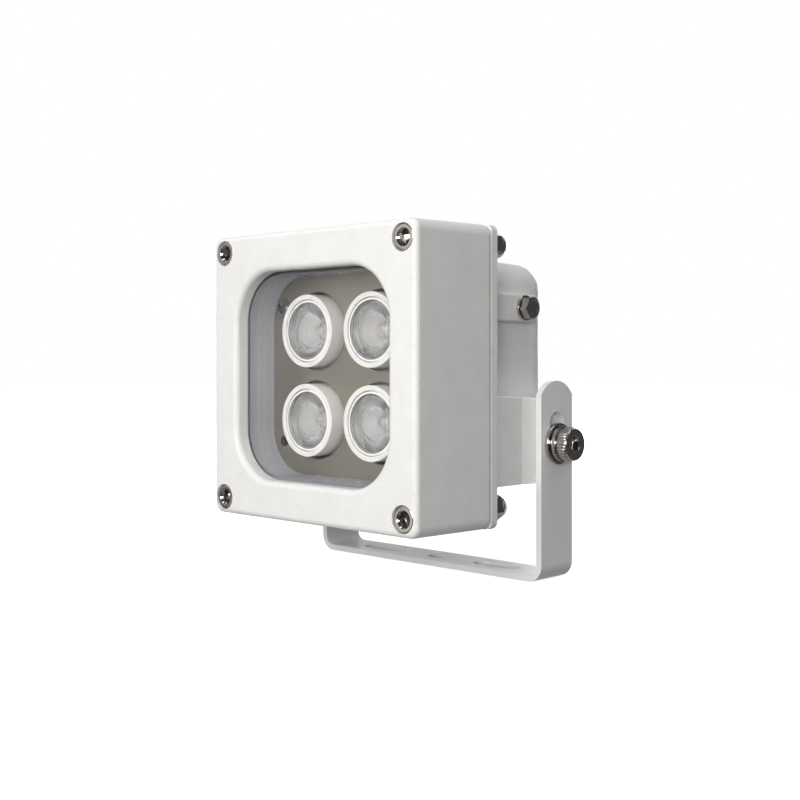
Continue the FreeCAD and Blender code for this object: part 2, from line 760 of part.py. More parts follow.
def plate_screws():
    """Two screws of the lens plate, on one diagonal."""
    screws = []
    for corner, side, level in (CORNERS[0], CORNERS[3]):
        spot = (f"{side}{PLATE_SCREW}", f"{PLATE_FRONT} - sizes.pivot_setback",
                f"sizes.pivot_height + sizes.pivot_drop + {level}sizes.plate_screw_level")
        screws.append(pan_screw(f"plate_screw_{corner}", spot, "sizes.plate_screw_length"))
    group("plate_screws", screws)


def heat_plate_screws():
    """Four screws that hold the heat plate to the rear casting."""
    screws = []
    for corner, side, level in CORNERS:
        spot = (f"{side}{HEAT_SCREW}", f"{HEAT_FRONT} - sizes.pivot_setback",
                f"sizes.pivot_height + sizes.pivot_drop + {level}sizes.heat_screw_level")
        screws.append(pan_screw(f"heat_plate_screw_{corner}", spot, "sizes.heat_screw_length"))
    group("heat_plate_screws", screws)


def rim_gasket():
    """Flat gasket between the two castings, set in from their outer edge."""
    body = new_body("housing_gasket")
    ring = face_sketch(body, "ring", "sizes.housing_depth")
    rounded_square(ring, f"({RIM_HALF} - sizes.rim_gasket_inset)",
                   "sizes.housing_corner - sizes.rim_gasket_inset")
    face_pad(ring, "ring_pad", "sizes.rim_gasket")
    inside = f"({HOUSING_HALF} - sizes.housing_wall)"
    for name, half_x, half_z in (("wide", inside, PILLAR_INNER), ("tall", PILLAR_INNER, inside)):
        opening = face_sketch(body, f"{name}_opening", "sizes.housing_depth")
        rounded_square(opening, half_x, "sizes.pillar_round", half_z)
        pocket(opening, f"{name}_opening_cut")
    holes = face_sketch(body, "screw_holes", "sizes.housing_depth")
    four_circles(holes, CORNER, CORNER, "sizes.corner_screw_hole")
    pocket(holes, "screw_hole_cuts")


def side_blocks():
    """Blocks that the ears clamp on, as one bar across the head with a sloping top."""
    body = new_body("side_blocks", ("0", "0", "0"), keep=False)
    rear = f"({BOX_REAR} - sizes.side_block_inset)"
    step = f"({FLANGE_REAR} + sizes.side_block_step)"
    bar = new_sketch(body, "bar", "XY_Plane", f"-{BOX_BOTTOM}")
    outline(bar, (
        (HOUSING_HALF, FLANGE_REAR),
        (HOUSING_HALF, step),
        (BLOCK_HALF, f"{step} + sizes.side_block_ramp"),
        (BLOCK_HALF, rear),
        (f"-{BLOCK_HALF}", rear),
        (f"-{BLOCK_HALF}", f"{step} + sizes.side_block_ramp"),
        (f"-{HOUSING_HALF}", step),
        (f"-{HOUSING_HALF}", FLANGE_REAR),
    ))
    pad(bar, "bar_pad", f"{BOX_BOTTOM} - sizes.side_block_top")
    wedge = new_sketch(body, "slope", "YZ_Plane")
    outline(wedge, (
        (FLANGE_REAR, "-sizes.side_block_top"),
        (rear, "-sizes.side_block_top - sizes.side_block_slope"),
        (rear, f"-sizes.side_block_top + {MARGIN}"),
        (FLANGE_REAR, f"-sizes.side_block_top + {MARGIN}"),
    ))
    solid = pocket(wedge, "slope_cut", midplane=True)
    wide = value(BLOCK_HALF)
    narrow = value(HOUSING_HALF)
    front = value(FLANGE_REAR)
    back = value(rear)
    top = -value("sizes.side_block_top")
    low_top = top - value("sizes.side_block_slope")
    edges = edges_within(solid, Vector(-wide, back, low_top), Vector(wide, back, low_top))
    for left, right in ((-wide, -narrow), (narrow, wide)):
        edges += edges_within(solid, Vector(left, front, low_top), Vector(right, back, top))
        edges += edges_within(solid, Vector(left, back, -value(BOX_BOTTOM)), Vector(right, back, low_top))
    fillet(solid, "bar_round", edges, "sizes.side_block_round")
    return body


def earth_boss():
    """Bar that the earth screw sits on, with its outer face rounded at the edge."""
    body = new_body("earth_boss", ("0", "0", "0"), keep=False)
    bar = new_sketch(body, "bar", "YZ_Plane")
    low = "(sizes.earth_boss_centre - sizes.earth_boss_height / 2)"
    high = f"({low} + sizes.earth_boss_height)"
    rear = f"({FLANGE_REAR} + sizes.earth_boss_length)"
    rounded_box(bar, FLANGE_FRONT, rear, low, high, "sizes.earth_boss_round")
    solid = pad(bar, "bar_pad", BOSS_FACE)
    face = value(BOSS_FACE)
    edges = edges_within(solid, Vector(face, value(FLANGE_FRONT), value(low)),
                         Vector(face, value(rear), value(high)))
    fillet(solid, "bar_round", edges, "sizes.earth_boss_edge")
    return body


def rear_housing():
    """Rear casting: box with a rounded top and rear, side blocks, flange, earth boss."""
    blocks = side_blocks()
    boss = earth_boss()
    body = new_body("rear_housing")
    profile = new_sketch(body, "box_profile", "YZ_Plane")
    outline(profile, (
        (FLANGE_FRONT, f"-{BOX_BOTTOM}"),
        (BOX_REAR, f"-{BOX_BOTTOM}"),
        (BOX_REAR, f"{BOX_TOP} - sizes.box_top_slope"),
        (FLANGE_FRONT, BOX_TOP),
    ))
    solid = pad(profile, "box_pad", f"2 * {BOX_HALF}", midplane=True)
    half = value(BOX_HALF)
    front = value(FLANGE_FRONT)
    rear = value(BOX_REAR)
    top = value(BOX_TOP)
    low_top = top - value("sizes.box_top_slope")
    bottom = -value(BOX_BOTTOM)
    shoulders = edges_within(solid, Vector(-half, rear, low_top), Vector(half, rear, low_top))
    for side in (-half, half):
        shoulders += edges_within(solid, Vector(side, front, low_top), Vector(side, rear, top))
        shoulders += edges_within(solid, Vector(side, rear, bottom), Vector(side, rear, low_top))
    solid = fillet(solid, "box_round", shoulders, "sizes.box_round")

    fused = body.newObject("PartDesign::Boolean", "rear_housing_with_blocks")
    fused.Type = "Fuse"
    fused.setObjects([blocks, boss])
    DOC.recompute()
    flange = face_sketch(body, "flange", FLANGE_FRONT)
    rounded_square(flange, RIM_HALF, "sizes.flange_corner")
    face_pad(flange, "flange_pad", "sizes.flange_thickness")

    cavity = face_sketch(body, "cavity", FLANGE_FRONT)
    rounded_box(cavity, f"-{CAVITY_HALF}", CAVITY_HALF, f"-{BOX_BOTTOM} + sizes.box_wall", CAVITY_TOP,
                "sizes.box_round - sizes.box_wall")
    solid = pocket(cavity, "cavity_cut", f"{BOX_INNER_REAR} - {FLANGE_FRONT}")
    half = value(CAVITY_HALF)
    floor = value(BOX_INNER_REAR)
    floor_edges = edges_within(solid, Vector(-half, floor, bottom), Vector(half, floor, top))
    fillet(solid, "cavity_round", floor_edges, "sizes.cavity_round")
    pillars = face_sketch(body, "pillars", FLANGE_FRONT)
    four_circles(pillars, HEAT_SCREW, "sizes.heat_screw_level", "sizes.box_pillar")
    face_pad(pillars, "pillar_pads", f"{BOX_INNER_REAR} - {FLANGE_FRONT}")

    threads = face_sketch(body, "pillar_threads", FLANGE_FRONT)
    four_circles(threads, HEAT_SCREW, "sizes.heat_screw_level",
                 "sizes.plate_screw + 2 * sizes.thread_clearance")
    pocket(threads, "pillar_thread_cuts", "sizes.heat_screw_length")
    holes = face_sketch(body, "screw_holes", FLANGE_FRONT)
    four_circles(holes, CORNER, CORNER, "sizes.corner_screw_hole")
    pocket(holes, "screw_hole_cuts", "sizes.flange_thickness")

    for name, mark, reversed_cut in (("right", "", False), ("left", "-", True)):
        bolt = new_sketch(body, f"{name}_bolt_hole", "YZ_Plane", f"{mark}{BLOCK_HALF}")
        circle(bolt, "sizes.pivot_setback", "-sizes.pivot_drop",
               "sizes.clamp_bolt + 2 * sizes.turning_clearance")
        pocket(bolt, f"{name}_bolt_cut", f"{BLOCK_HALF} - {BOX_HALF}", backward=reversed_cut)
    earth = new_sketch(body, "earth_hole", "YZ_Plane", BOSS_FACE)
    circle(earth, "sizes.earth_screw_setback", "sizes.earth_boss_centre",
           "sizes.earth_screw + 2 * sizes.thread_clearance")
    pocket(earth, "earth_hole_cut", "sizes.earth_screw_length - sizes.earth_washer_thickness")
    inlet = face_sketch(body, "gland_hole", BOX_INNER_REAR)
    circle(inlet, "0", GLAND_LEVEL, "sizes.gland_thread + 2 * sizes.thread_clearance")
    pocket(inlet, "gland_hole_cut")


def socket_screw(label, spot, turn, measures, keep=True):
    """Turned screw with a flat seat at its origin, the head above and a hexagon socket in it."""
    head, head_height, shank, length, socket_size, socket_depth = measures
    body = new_body(label, spot, turn, keep)
    edge = "sizes.screw_bevel"
    half = new_sketch(body, "half_section", "XZ_Plane")
    outline(half, (
        ("0", head_height),
        (f"{head} / 2 - {edge}", head_height),
        (f"{head} / 2", f"{head_height} - {edge}"),
        (f"{head} / 2", "0"),
        (f"{shank} / 2", "0"),
        (f"{shank} / 2", f"-{length} + {edge}"),
        (f"{shank} / 2 - {edge}", f"-{length}"),
        ("0", f"-{length}"),
    ))
    revolve(half, "screw_turn")
    key = new_sketch(body, "socket", "XY_Plane", head_height)
    hexagon(key, socket_size)
    pocket(key, "socket_cut", socket_depth)
    return body


def front_screws():
    """Four M6 screws through the castings."""
    length = f"({FLANGE_REAR} - sizes.counterbore_depth + sizes.dome_nut_thread - sizes.screw_bevel)"
    measures = ("sizes.corner_head", "sizes.corner_head_height", "sizes.corner_screw", length,
                "sizes.corner_socket", "sizes.corner_socket_depth")
    screws = []
    for corner, side, level in CORNERS:
        spot = (f"{side}{CORNER}", "sizes.counterbore_depth - sizes.pivot_setback",
                f"sizes.pivot_height + sizes.pivot_drop + {level}{CORNER}")
        screws.append(socket_screw(f"front_screw_{corner}", spot, FACING_FRONT, measures, keep=False))
    group("front_screws", screws)


def dome_nuts():
    """Four M6 dome nuts on the rear of the flange: hexagon, dome and blind thread."""
    nuts = []
    for corner, side, level in CORNERS:
        spot = (f"{side}{CORNER}", f"{FLANGE_REAR} - sizes.pivot_setback",
                f"sizes.pivot_height + sizes.pivot_drop + {level}{CORNER}")
        body = new_body(f"dome_nut_{corner}", spot, FACING_REAR, keep=False)
        flats = new_sketch(body, "flats", "XY_Plane")
        hexagon(flats, "sizes.dome_nut")
        pad(flats, "flats_pad", "sizes.dome_nut_hex_height")
        half = new_sketch(body, "half_section", "XZ_Plane")
        dome(half, "sizes.dome_nut_hex_height / 2", "sizes.dome_nut_dome / 2", "sizes.dome_nut_height")
        revolve(half, "dome_turn")
        thread = new_sketch(body, "thread", "XY_Plane")
        circle(thread, "0", "0", "sizes.corner_screw + 2 * sizes.thread_clearance")
        pocket(thread, "thread_cut", "sizes.dome_nut_thread", backward=True)
        nuts.append(body)
    group("dome_nuts", nuts)


def earth_fastener():
    """M5 hexagon screw and its washer on the earth boss."""
    level = "sizes.pivot_height + sizes.pivot_drop + sizes.earth_boss_centre"
    along = "sizes.earth_screw_setback - sizes.pivot_setback"
    washer = new_body("earth_washer", (BOSS_FACE, along, level), FACING_RIGHT)
    ring = new_sketch(washer, "ring", "XY_Plane")
    circle(ring, "0", "0", "sizes.earth_washer")
    circle(ring, "0", "0", "sizes.earth_screw + 2 * sizes.thread_clearance")
    pad(ring, "ring_pad", "sizes.earth_washer_thickness")

    seat = f"{BOSS_FACE} + sizes.earth_washer_thickness"
    screw = new_body("earth_screw", (seat, along, level), FACING_RIGHT)
    flats = new_sketch(screw, "flats", "XY_Plane")
    hexagon(flats, "sizes.earth_head")
    pad(flats, "flats_pad", "sizes.earth_head_height")
    shank = new_sketch(screw, "shank", "XY_Plane")
    circle(shank, "0", "0", "sizes.earth_screw")
    pad(shank, "shank_pad", "sizes.earth_screw_length", backward=True)


def cable_gland():
    """Gland of four pieces in the rear wall: body, sealing ring, cap and inner locknut."""
    axis = f"sizes.pivot_height + sizes.pivot_drop + {GLAND_LEVEL}"
    outside = ("0", f"{BOX_REAR} - sizes.pivot_setback", axis)
    inside = ("0", f"{BOX_INNER_REAR} - sizes.pivot_setback", axis)

    body = new_body("gland_body", outside, FACING_REAR)
    flats = new_sketch(body, "flats", "XY_Plane")
    hexagon(flats, "sizes.gland_hex")
    pad(flats, "flats_pad", "sizes.gland_hex_height")
    neck = new_sketch(body, "neck", "XY_Plane", "sizes.gland_hex_height")
    circle(neck, "0", "0", "sizes.gland_neck")
    pad(neck, "neck_pad", "sizes.gland_neck_height")
    stem = new_sketch(body, "stem", "XY_Plane")
    circle(stem, "0", "0", "sizes.gland_thread")
    pad(stem, "stem_pad", "sizes.box_wall + sizes.locknut_height + sizes.gland_thread_end",
        backward=True)
    throat = new_sketch(body, "throat", "XY_Plane", "sizes.gland_hex_height + sizes.gland_neck_height")
    circle(throat, "0", "0", "sizes.gland_throat")
    pocket(throat, "throat_cut")

    seal_start = "(sizes.gland_hex_height + sizes.gland_neck_height / 2)"
    seal_end = "(sizes.gland_hex_height + sizes.gland_cap_height - sizes.gland_cap_lip)"
    seal = new_body("gland_seal", outside, FACING_REAR)
    ring = new_sketch(seal, "ring", "XY_Plane", seal_start)
    circle(ring, "0", "0", "sizes.gland_throat")
    circle(ring, "0", "0", "sizes.gland_bore")
    pad(ring, "ring_pad", f"{seal_end} - {seal_start}")

    cap = new_body("gland_nut", outside, FACING_REAR)
    cap_flats = new_sketch(cap, "flats", "XY_Plane", "sizes.gland_hex_height")
    hexagon(cap_flats, "sizes.gland_cap_hex")
    pad(cap_flats, "flats_pad", "sizes.gland_cap_hex_height")
    crown = new_sketch(cap, "crown", "XZ_Plane")
    crown_low = "sizes.gland_hex_height + sizes.gland_cap_hex_height / 2"
    crown_top = "(sizes.gland_hex_height + sizes.gland_cap_height)"
    outline(crown, (
        ("0", crown_low),
        ("sizes.gland_cap_hex / 2", crown_low),
        ("sizes.gland_cap_hex / 2", f"{crown_top} - sizes.gland_cap_round"),
        ("sizes.gland_cap_hex / 2 - sizes.gland_cap_round", crown_top),
        ("0", crown_top),
    ), {2: ("sizes.gland_cap_round", LEFT)})
    revolve(crown, "crown_turn")
    mouth = new_sketch(cap, "mouth", "XY_Plane", crown_top)
    circle(mouth, "0", "0", "sizes.gland_cap_mouth")
    pocket(mouth, "mouth_cut")
    hollow = new_sketch(cap, "hollow", "XY_Plane", "sizes.gland_hex_height")
    circle(hollow, "0", "0", "sizes.gland_neck + 2 * sizes.thread_clearance")
    pocket(hollow, "hollow_cut", "sizes.gland_cap_height - sizes.gland_cap_lip", backward=True)

    nut = new_body("gland_locknut", inside, FACING_FRONT)
    nut_flats = new_sketch(nut, "flats", "XY_Plane")
    hexagon(nut_flats, "sizes.locknut")
    pad(nut_flats, "flats_pad", "sizes.locknut_height")
    nut_thread = new_sketch(nut, "thread", "XY_Plane")
    circle(nut_thread, "0", "0", "sizes.gland_thread + 2 * sizes.thread_clearance")
    pocket(nut_thread, "thread_cut", backward=True)


def driver():
    """Driver board on four pillars on the rear wall, with its parts and its terminal block."""
    level = f"({HEAD_PLACE[2]} + {CAVITY_TOP} - sizes.driver_top_gap - sizes.driver_height / 2)"
    board_rear = f"({BOX_INNER_REAR} - sizes.driver_pillar_height)"
    board_front = f"({board_rear} - sizes.driver_board_thickness)"
    half_x = f"({HEAT_SCREW} - sizes.box_pillar / 2 - sizes.driver_clearance)"
    half_z = "(sizes.driver_height / 2)"
    front = f"{board_front} - sizes.pivot_setback"
    body = new_body("driver_board", ("0", front, level))
    board = face_sketch(body, "board")
    rounded_square(board, half_x, "sizes.board_corner", half_z)
    face_pad(board, "board_pad", "sizes.driver_board_thickness")

    pillars = []
    for corner, side, rise in CORNERS:
        spot = (f"{side}({half_x} - sizes.driver_pillar_inset)", f"{board_rear} - sizes.pivot_setback",
                f"{level} + {rise}({half_z} - sizes.driver_pillar_inset)")
        pillar = new_body(f"driver_pillar_{corner}", spot, FACING_REAR, keep=False)
        bar = new_sketch(pillar, "bar", "XY_Plane")
        circle(bar, "0", "0", "sizes.driver_pillar")
        pad(bar, "bar_pad", "sizes.driver_pillar_height")
        pillars.append(pillar)
    group("driver_pillars", pillars)

    transformer = DOC.addObject("Part::Box", "transformer")
    transformer.setExpression("Length", "sizes.transformer_width")
    transformer.setExpression("Width", "sizes.transformer_depth")
    transformer.setExpression("Height", "sizes.transformer_height")
    place(transformer, "-sizes.transformer_offset - sizes.transformer_width / 2",
          f"{front} - sizes.transformer_depth", f"{level} - sizes.transformer_height / 2")
    capacitors = []
    for name in ("near_capacitor", "far_capacitor"):
        capacitor = DOC.addObject("Part::Cylinder", name)
        capacitor.setExpression("Radius", "sizes.capacitor / 2")
        capacitor.setExpression("Height", "sizes.capacitor_height")
        place(capacitor, f"sizes.{name}_offset", front, level, FACING_FRONT)
        capacitors.append(capacitor)
    group("driver_parts", [transformer] + capacitors)

    block = new_body("terminal_block", ("0", front, level))
    section = new_sketch(block, "section", "YZ_Plane")
    low = f"(sizes.terminal_inset - {half_z})"
    high = f"({low} + sizes.terminal_height)"
    outline(section, (
        ("0", low),
        ("0", high),
        ("sizes.terminal_bevel - sizes.terminal_depth", high),
        ("-sizes.terminal_depth", f"{high} - sizes.terminal_bevel"),
        ("-sizes.terminal_depth", low),
    ))
    pad(section, "section_pad", "sizes.terminal_width", midplane=True)


def bracket():
    """U-bracket: one folded strip with a crowned and slotted ear at each end."""
    body = new_body("bracket", ("0", "0", "0"))
    ear_top = "(sizes.pivot_height + sizes.ear_top)"
    strip = new_sketch(body, "strip", "XZ_Plane")
    outline(strip, (
        (f"-{EAR_OUTER}", "0"),
        (EAR_OUTER, "0"),
        (EAR_OUTER, ear_top),
        (EAR_INNER, ear_top),
        (EAR_INNER, "sizes.strip_thickness"),
        (f"-{EAR_INNER}", "sizes.strip_thickness"),
        (f"-{EAR_INNER}", ear_top),
        (f"-{EAR_OUTER}", ear_top),
    ))
    solid = pad(strip, "strip_pad", "sizes.strip_width", midplane=True)
    outer = value(EAR_OUTER)
    inner = value(EAR_INNER)
    half = value("sizes.strip_width") / 2
    thick = value("sizes.strip_thickness")
    inner_edges = []
    for spot in (-inner, inner):
        inner_edges += edges_within(solid, Vector(spot, -half, thick), Vector(spot, half, thick))
    solid = fillet(solid, "inner_bend", inner_edges, "sizes.bend_radius")
    outer_edges = []
    for spot in (-outer, outer):
        outer_edges += edges_within(solid, Vector(spot, -half, 0), Vector(spot, half, 0))
    fillet(solid, "outer_bend", outer_edges, "sizes.bend_radius + sizes.strip_thickness")

    crown = new_sketch(body, "crown", "YZ_Plane")
    side = f"(sizes.strip_width / 2 + {MARGIN})"
    shoulder = f"{ear_top} - sizes.ear_crown + sqrt(sizes.ear_crown ^ 2 - {side} ^ 2)"
    above = f"{ear_top} + {MARGIN}"
    outline(crown, (
        (side, shoulder),
        (side, above),
        (f"-{side}", above),
        (f"-{side}", shoulder),
    ), {3: ("sizes.ear_crown", RIGHT)})
    pocket(crown, "crown_cut", midplane=True)
    ear_slot = new_sketch(body, "ear_slot", "YZ_Plane")
    slot(ear_slot, ("0", "sizes.pivot_height"), ("0", "sizes.pivot_height + sizes.ear_slot_travel"),
         "sizes.ear_slot_width")
    pocket(ear_slot, "ear_slot_cut", midplane=True)

    base = new_sketch(body, "base_holes", "XY_Plane")
    circle(base, "0", "0", "sizes.base_hole")
    reach = "(sizes.base_slot_length / 2 - sizes.base_slot_width / 2)"
    for mark in ("-", ""):
        slot(base, (f"{mark}sizes.base_slot_centre - {reach}", "0"),
             (f"{mark}sizes.base_slot_centre + {reach}", "0"), "sizes.base_slot_width")
    pocket(base, "base_hole_cuts", "sizes.strip_thickness", backward=True)


def clamp_fasteners(side, mark, turn):
    """M8 bolt of one side with its spring washer and flat washer, stacked on the ear."""
    face = f"{mark}({EAR_OUTER} + sizes.ear_clearance)"
    washer = new_body(f"flat_washer_{side}", (face, "0", "sizes.pivot_height"), turn)
    ring = new_sketch(washer, "ring", "XY_Plane")
    circle(ring, "0", "0", "sizes.flat_washer")
    circle(ring, "0", "0", "sizes.washer_bore")
    pad(ring, "ring_pad", "sizes.flat_washer_thickness")

    spring = new_body(f"spring_washer_{side}", (f"{mark}{WASHER_OUTER}", "0", "sizes.pivot_height"), turn)
    coil = new_sketch(spring, "ring", "XY_Plane")
    circle(coil, "0", "0", "sizes.spring_washer")
    circle(coil, "0", "0", "sizes.washer_bore")
    pad(coil, "ring_pad", "sizes.spring_washer_thickness")
    gap = new_sketch(spring, "gap", "XY_Plane", "sizes.spring_washer_thickness")
    half_gap = "sizes.spring_washer_cut / 2"
    outline(gap, (
        (f"-{half_gap}", "0"), (half_gap, "0"), (half_gap, "sizes.spring_washer"),
        (f"-{half_gap}", "sizes.spring_washer"),
    ))
    pocket(gap, "gap_cut")

    measures = ("sizes.clamp_head", "sizes.clamp_head_height", "sizes.clamp_bolt",
                "sizes.clamp_bolt_length", "sizes.clamp_socket", "sizes.clamp_socket_depth")
    socket_screw(f"clamp_bolt_{side}", (f"{mark}{BOLT_SEAT}", "0", "sizes.pivot_height"), turn, measures)


def check_document():
    """Stops on a failed object or a broken shape."""
    faults = [item.Label for item in DOC.Objects if {"Invalid", "Error"} & set(item.State)]
    faults += [piece.Label for piece in PARTS if piece.Shape.isNull() or not piece.Shape.isValid()]
    if faults:
        raise RuntimeError(f"these pieces failed: {faults}")


def write_parts():
    """One file for each node, named after its label."""
    os.makedirs("parts", exist_ok=True)
    for piece in PARTS:
        piece.Shape.exportStep(f"parts/{piece.Label}.step")


def main():
    """Builds every piece from the sheet, checks the document and writes the files."""
    front_housing()
    window_seal()
    window_glass()
    inner_frame()
    lens_plate()
    for corner, side, level in CORNERS:
        lens_holder(corner, side, level)
        lens(corner, side, level)
    group("leds", [led(*corner) for corner in CORNERS])
    led_board()
    heat_plate()
    group("plate_pillars", [plate_pillar(*corner) for corner in CORNERS])
    plate_screws()
    heat_plate_screws()
    rim_gasket()
    rear_housing()
    front_screws()
    dome_nuts()
    earth_fastener()
    cable_gland()
    driver()
    bracket()
    for side, mark, turn in SIDES:
        clamp_fasteners(side, mark, turn)
    DOC.recompute()
    check_document()
    write_parts()


main()
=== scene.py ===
"""Looks of a white light illuminator: a die-cast head with four clear lenses, in a folded bracket.

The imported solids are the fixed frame, in metres, with +Z up and the lamp's window facing -Y.
Sizes in the classes are real ones in millimetres. Places are read from the solids' boxes.
"""

import json
import logging
import math
from dataclasses import dataclass
from enum import Enum
from typing import Callable, Iterable, Sequence

import bmesh
import bpy
from mathutils import Matrix, Vector


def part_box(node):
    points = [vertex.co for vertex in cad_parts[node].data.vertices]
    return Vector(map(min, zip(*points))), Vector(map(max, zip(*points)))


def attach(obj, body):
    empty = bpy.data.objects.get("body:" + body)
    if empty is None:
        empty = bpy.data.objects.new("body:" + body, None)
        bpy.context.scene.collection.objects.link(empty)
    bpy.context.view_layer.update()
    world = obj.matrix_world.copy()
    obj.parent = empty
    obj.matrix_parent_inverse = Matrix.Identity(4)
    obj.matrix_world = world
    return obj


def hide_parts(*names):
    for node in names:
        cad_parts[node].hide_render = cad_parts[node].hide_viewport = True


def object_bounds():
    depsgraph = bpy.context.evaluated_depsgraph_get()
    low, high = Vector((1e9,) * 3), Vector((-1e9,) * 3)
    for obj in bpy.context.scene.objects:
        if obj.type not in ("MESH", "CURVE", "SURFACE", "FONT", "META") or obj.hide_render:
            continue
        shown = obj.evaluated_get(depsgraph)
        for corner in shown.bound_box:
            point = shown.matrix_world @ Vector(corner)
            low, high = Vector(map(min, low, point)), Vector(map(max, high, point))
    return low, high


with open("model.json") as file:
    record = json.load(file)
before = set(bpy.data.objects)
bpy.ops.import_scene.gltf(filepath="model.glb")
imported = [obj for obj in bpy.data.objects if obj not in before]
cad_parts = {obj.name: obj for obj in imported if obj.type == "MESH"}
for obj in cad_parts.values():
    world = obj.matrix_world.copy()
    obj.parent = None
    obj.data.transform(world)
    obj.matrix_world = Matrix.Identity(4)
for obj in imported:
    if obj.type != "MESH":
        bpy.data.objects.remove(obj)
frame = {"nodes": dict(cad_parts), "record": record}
CAD_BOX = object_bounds()
LOG = logging.getLogger("illuminator")

MM = 0.001
SAME_SPOT = 1e-7
FRONT = Vector((0, -1, 0))
REAR = Vector((0, 1, 0))

Corner = tuple[float, float, float]
Rule = Callable[[float], float]
Colour = tuple[float, float, float, float]
Tree = bpy.types.NodeTree
Socket = bpy.types.NodeSocket
Inputs = dict[str, object]
Mesh = bpy.types.Mesh
Piece = bpy.types.Object


class Place(Enum):
    """Place on the lamp that names nodes."""

    @property
    def word(self) -> str:
        """Word that the nodes of this place end in."""
        return self.name.lower()


class Side(Place):
    """Side of the lamp; the value is the sign of X."""

    LEFT = -1
    RIGHT = 1

    @property
    def out(self) -> Vector:
        """Direction away from the head."""
        return Vector((self.value, 0, 0))


class Quarter(Place):
    """Quarter of the lamp's face; the values are the signs of X and Z."""

    TOP_LEFT = (-1, 1)
    TOP_RIGHT = (1, 1)
    BOTTOM_LEFT = (-1, -1)
    BOTTOM_RIGHT = (1, -1)


def linear(code: str) -> Colour:
    """Turns an sRGB hex colour to linear light.

    Args:
        code: six hex digits.

    Returns:
        Red, green, blue and full opacity.
    """
    low_end, slope, offset, power = 0.04045, 12.92, 0.055, 2.4
    shares = [int(code[start:start + 2], 16) / 255 for start in (0, 2, 4)]
    red, green, blue = (share / slope if share <= low_end else ((share + offset) / (1 + offset)) ** power
                        for share in shares)
    return (red, green, blue, 1.0)


def add_node(tree: Tree, kind: str, inputs: dict | None = None,
             **settings: object) -> bpy.types.Node:
    """Adds a node with its settings and links.

    Args:
        tree: node tree of a material or of the world.
        kind: Blender's name of the node type.
        inputs: for an input's name or number, a plain value, or a socket to link from.
        settings: the node's own properties.

    Returns:
        The new node.
    """
    node = tree.nodes.new(kind)
    for name, setting in settings.items():
        setattr(node, name, setting)
    for key, entry in (inputs or {}).items():
        if isinstance(entry, Socket):
            tree.links.new(entry, node.inputs[key])
        else:
            node.inputs[key].default_value = entry
    return node


def emptied(owner: bpy.types.Material | bpy.types.World) -> Tree:
    """Empties a node tree.

    Args:
        owner: the material or world that has the tree.

    Returns:
        The tree.
    """
    owner.use_nodes = True
    owner.node_tree.nodes.clear()
    return owner.node_tree


def add_object(name: str, data: bpy.types.ID) -> Piece:
    """Adds an object to the scene.

    Args:
        name: its name.
        data: mesh, lamp or camera that it shows.

    Returns:
        The object.
    """
    made = bpy.data.objects.new(name, data)
    bpy.context.scene.collection.objects.link(made)
    return made


def either(tree: Tree, share: Socket, first: Socket, second: Socket) -> Socket:
    """Shader that goes from the first to the second as the share goes from 0 to 1."""
    return add_node(tree, "ShaderNodeMixShader", {0: share, 1: first, 2: second}).outputs["Shader"]


def seen(tree: Tree, *rays: str) -> Socket:
    """Tells rays of some kinds from the others.

    Args:
        tree: node tree of a material or of the world.
        rays: kinds, as the light path node names them.

    Returns:
        1 for rays of these kinds, 0 for the others.
    """
    path = add_node(tree, "ShaderNodeLightPath")
    total = path.outputs[rays[0]]
    for ray in rays[1:]:
        total = brightest(tree, total, path.outputs[ray])
    return total


def brightest(tree: Tree, first: float | Socket, second: Socket) -> Socket:
    """The higher of two values."""
    return add_node(tree, "ShaderNodeMath", {0: first, 1: second}, operation="MAXIMUM").outputs["Value"]


def reckon(tree: Tree, operation: str, *inputs: object, give: str = "Vector") -> Socket:
    """Result of Blender's vector arithmetic on plain vectors or sockets."""
    node = add_node(tree, "ShaderNodeVectorMath", dict(enumerate(inputs)), operation=operation)
    return node.outputs[give]


def per_metre(size_mm: float) -> float:
    """Texture scale whose pattern repeats about once in a real size."""
    return 1 / (size_mm * MM)


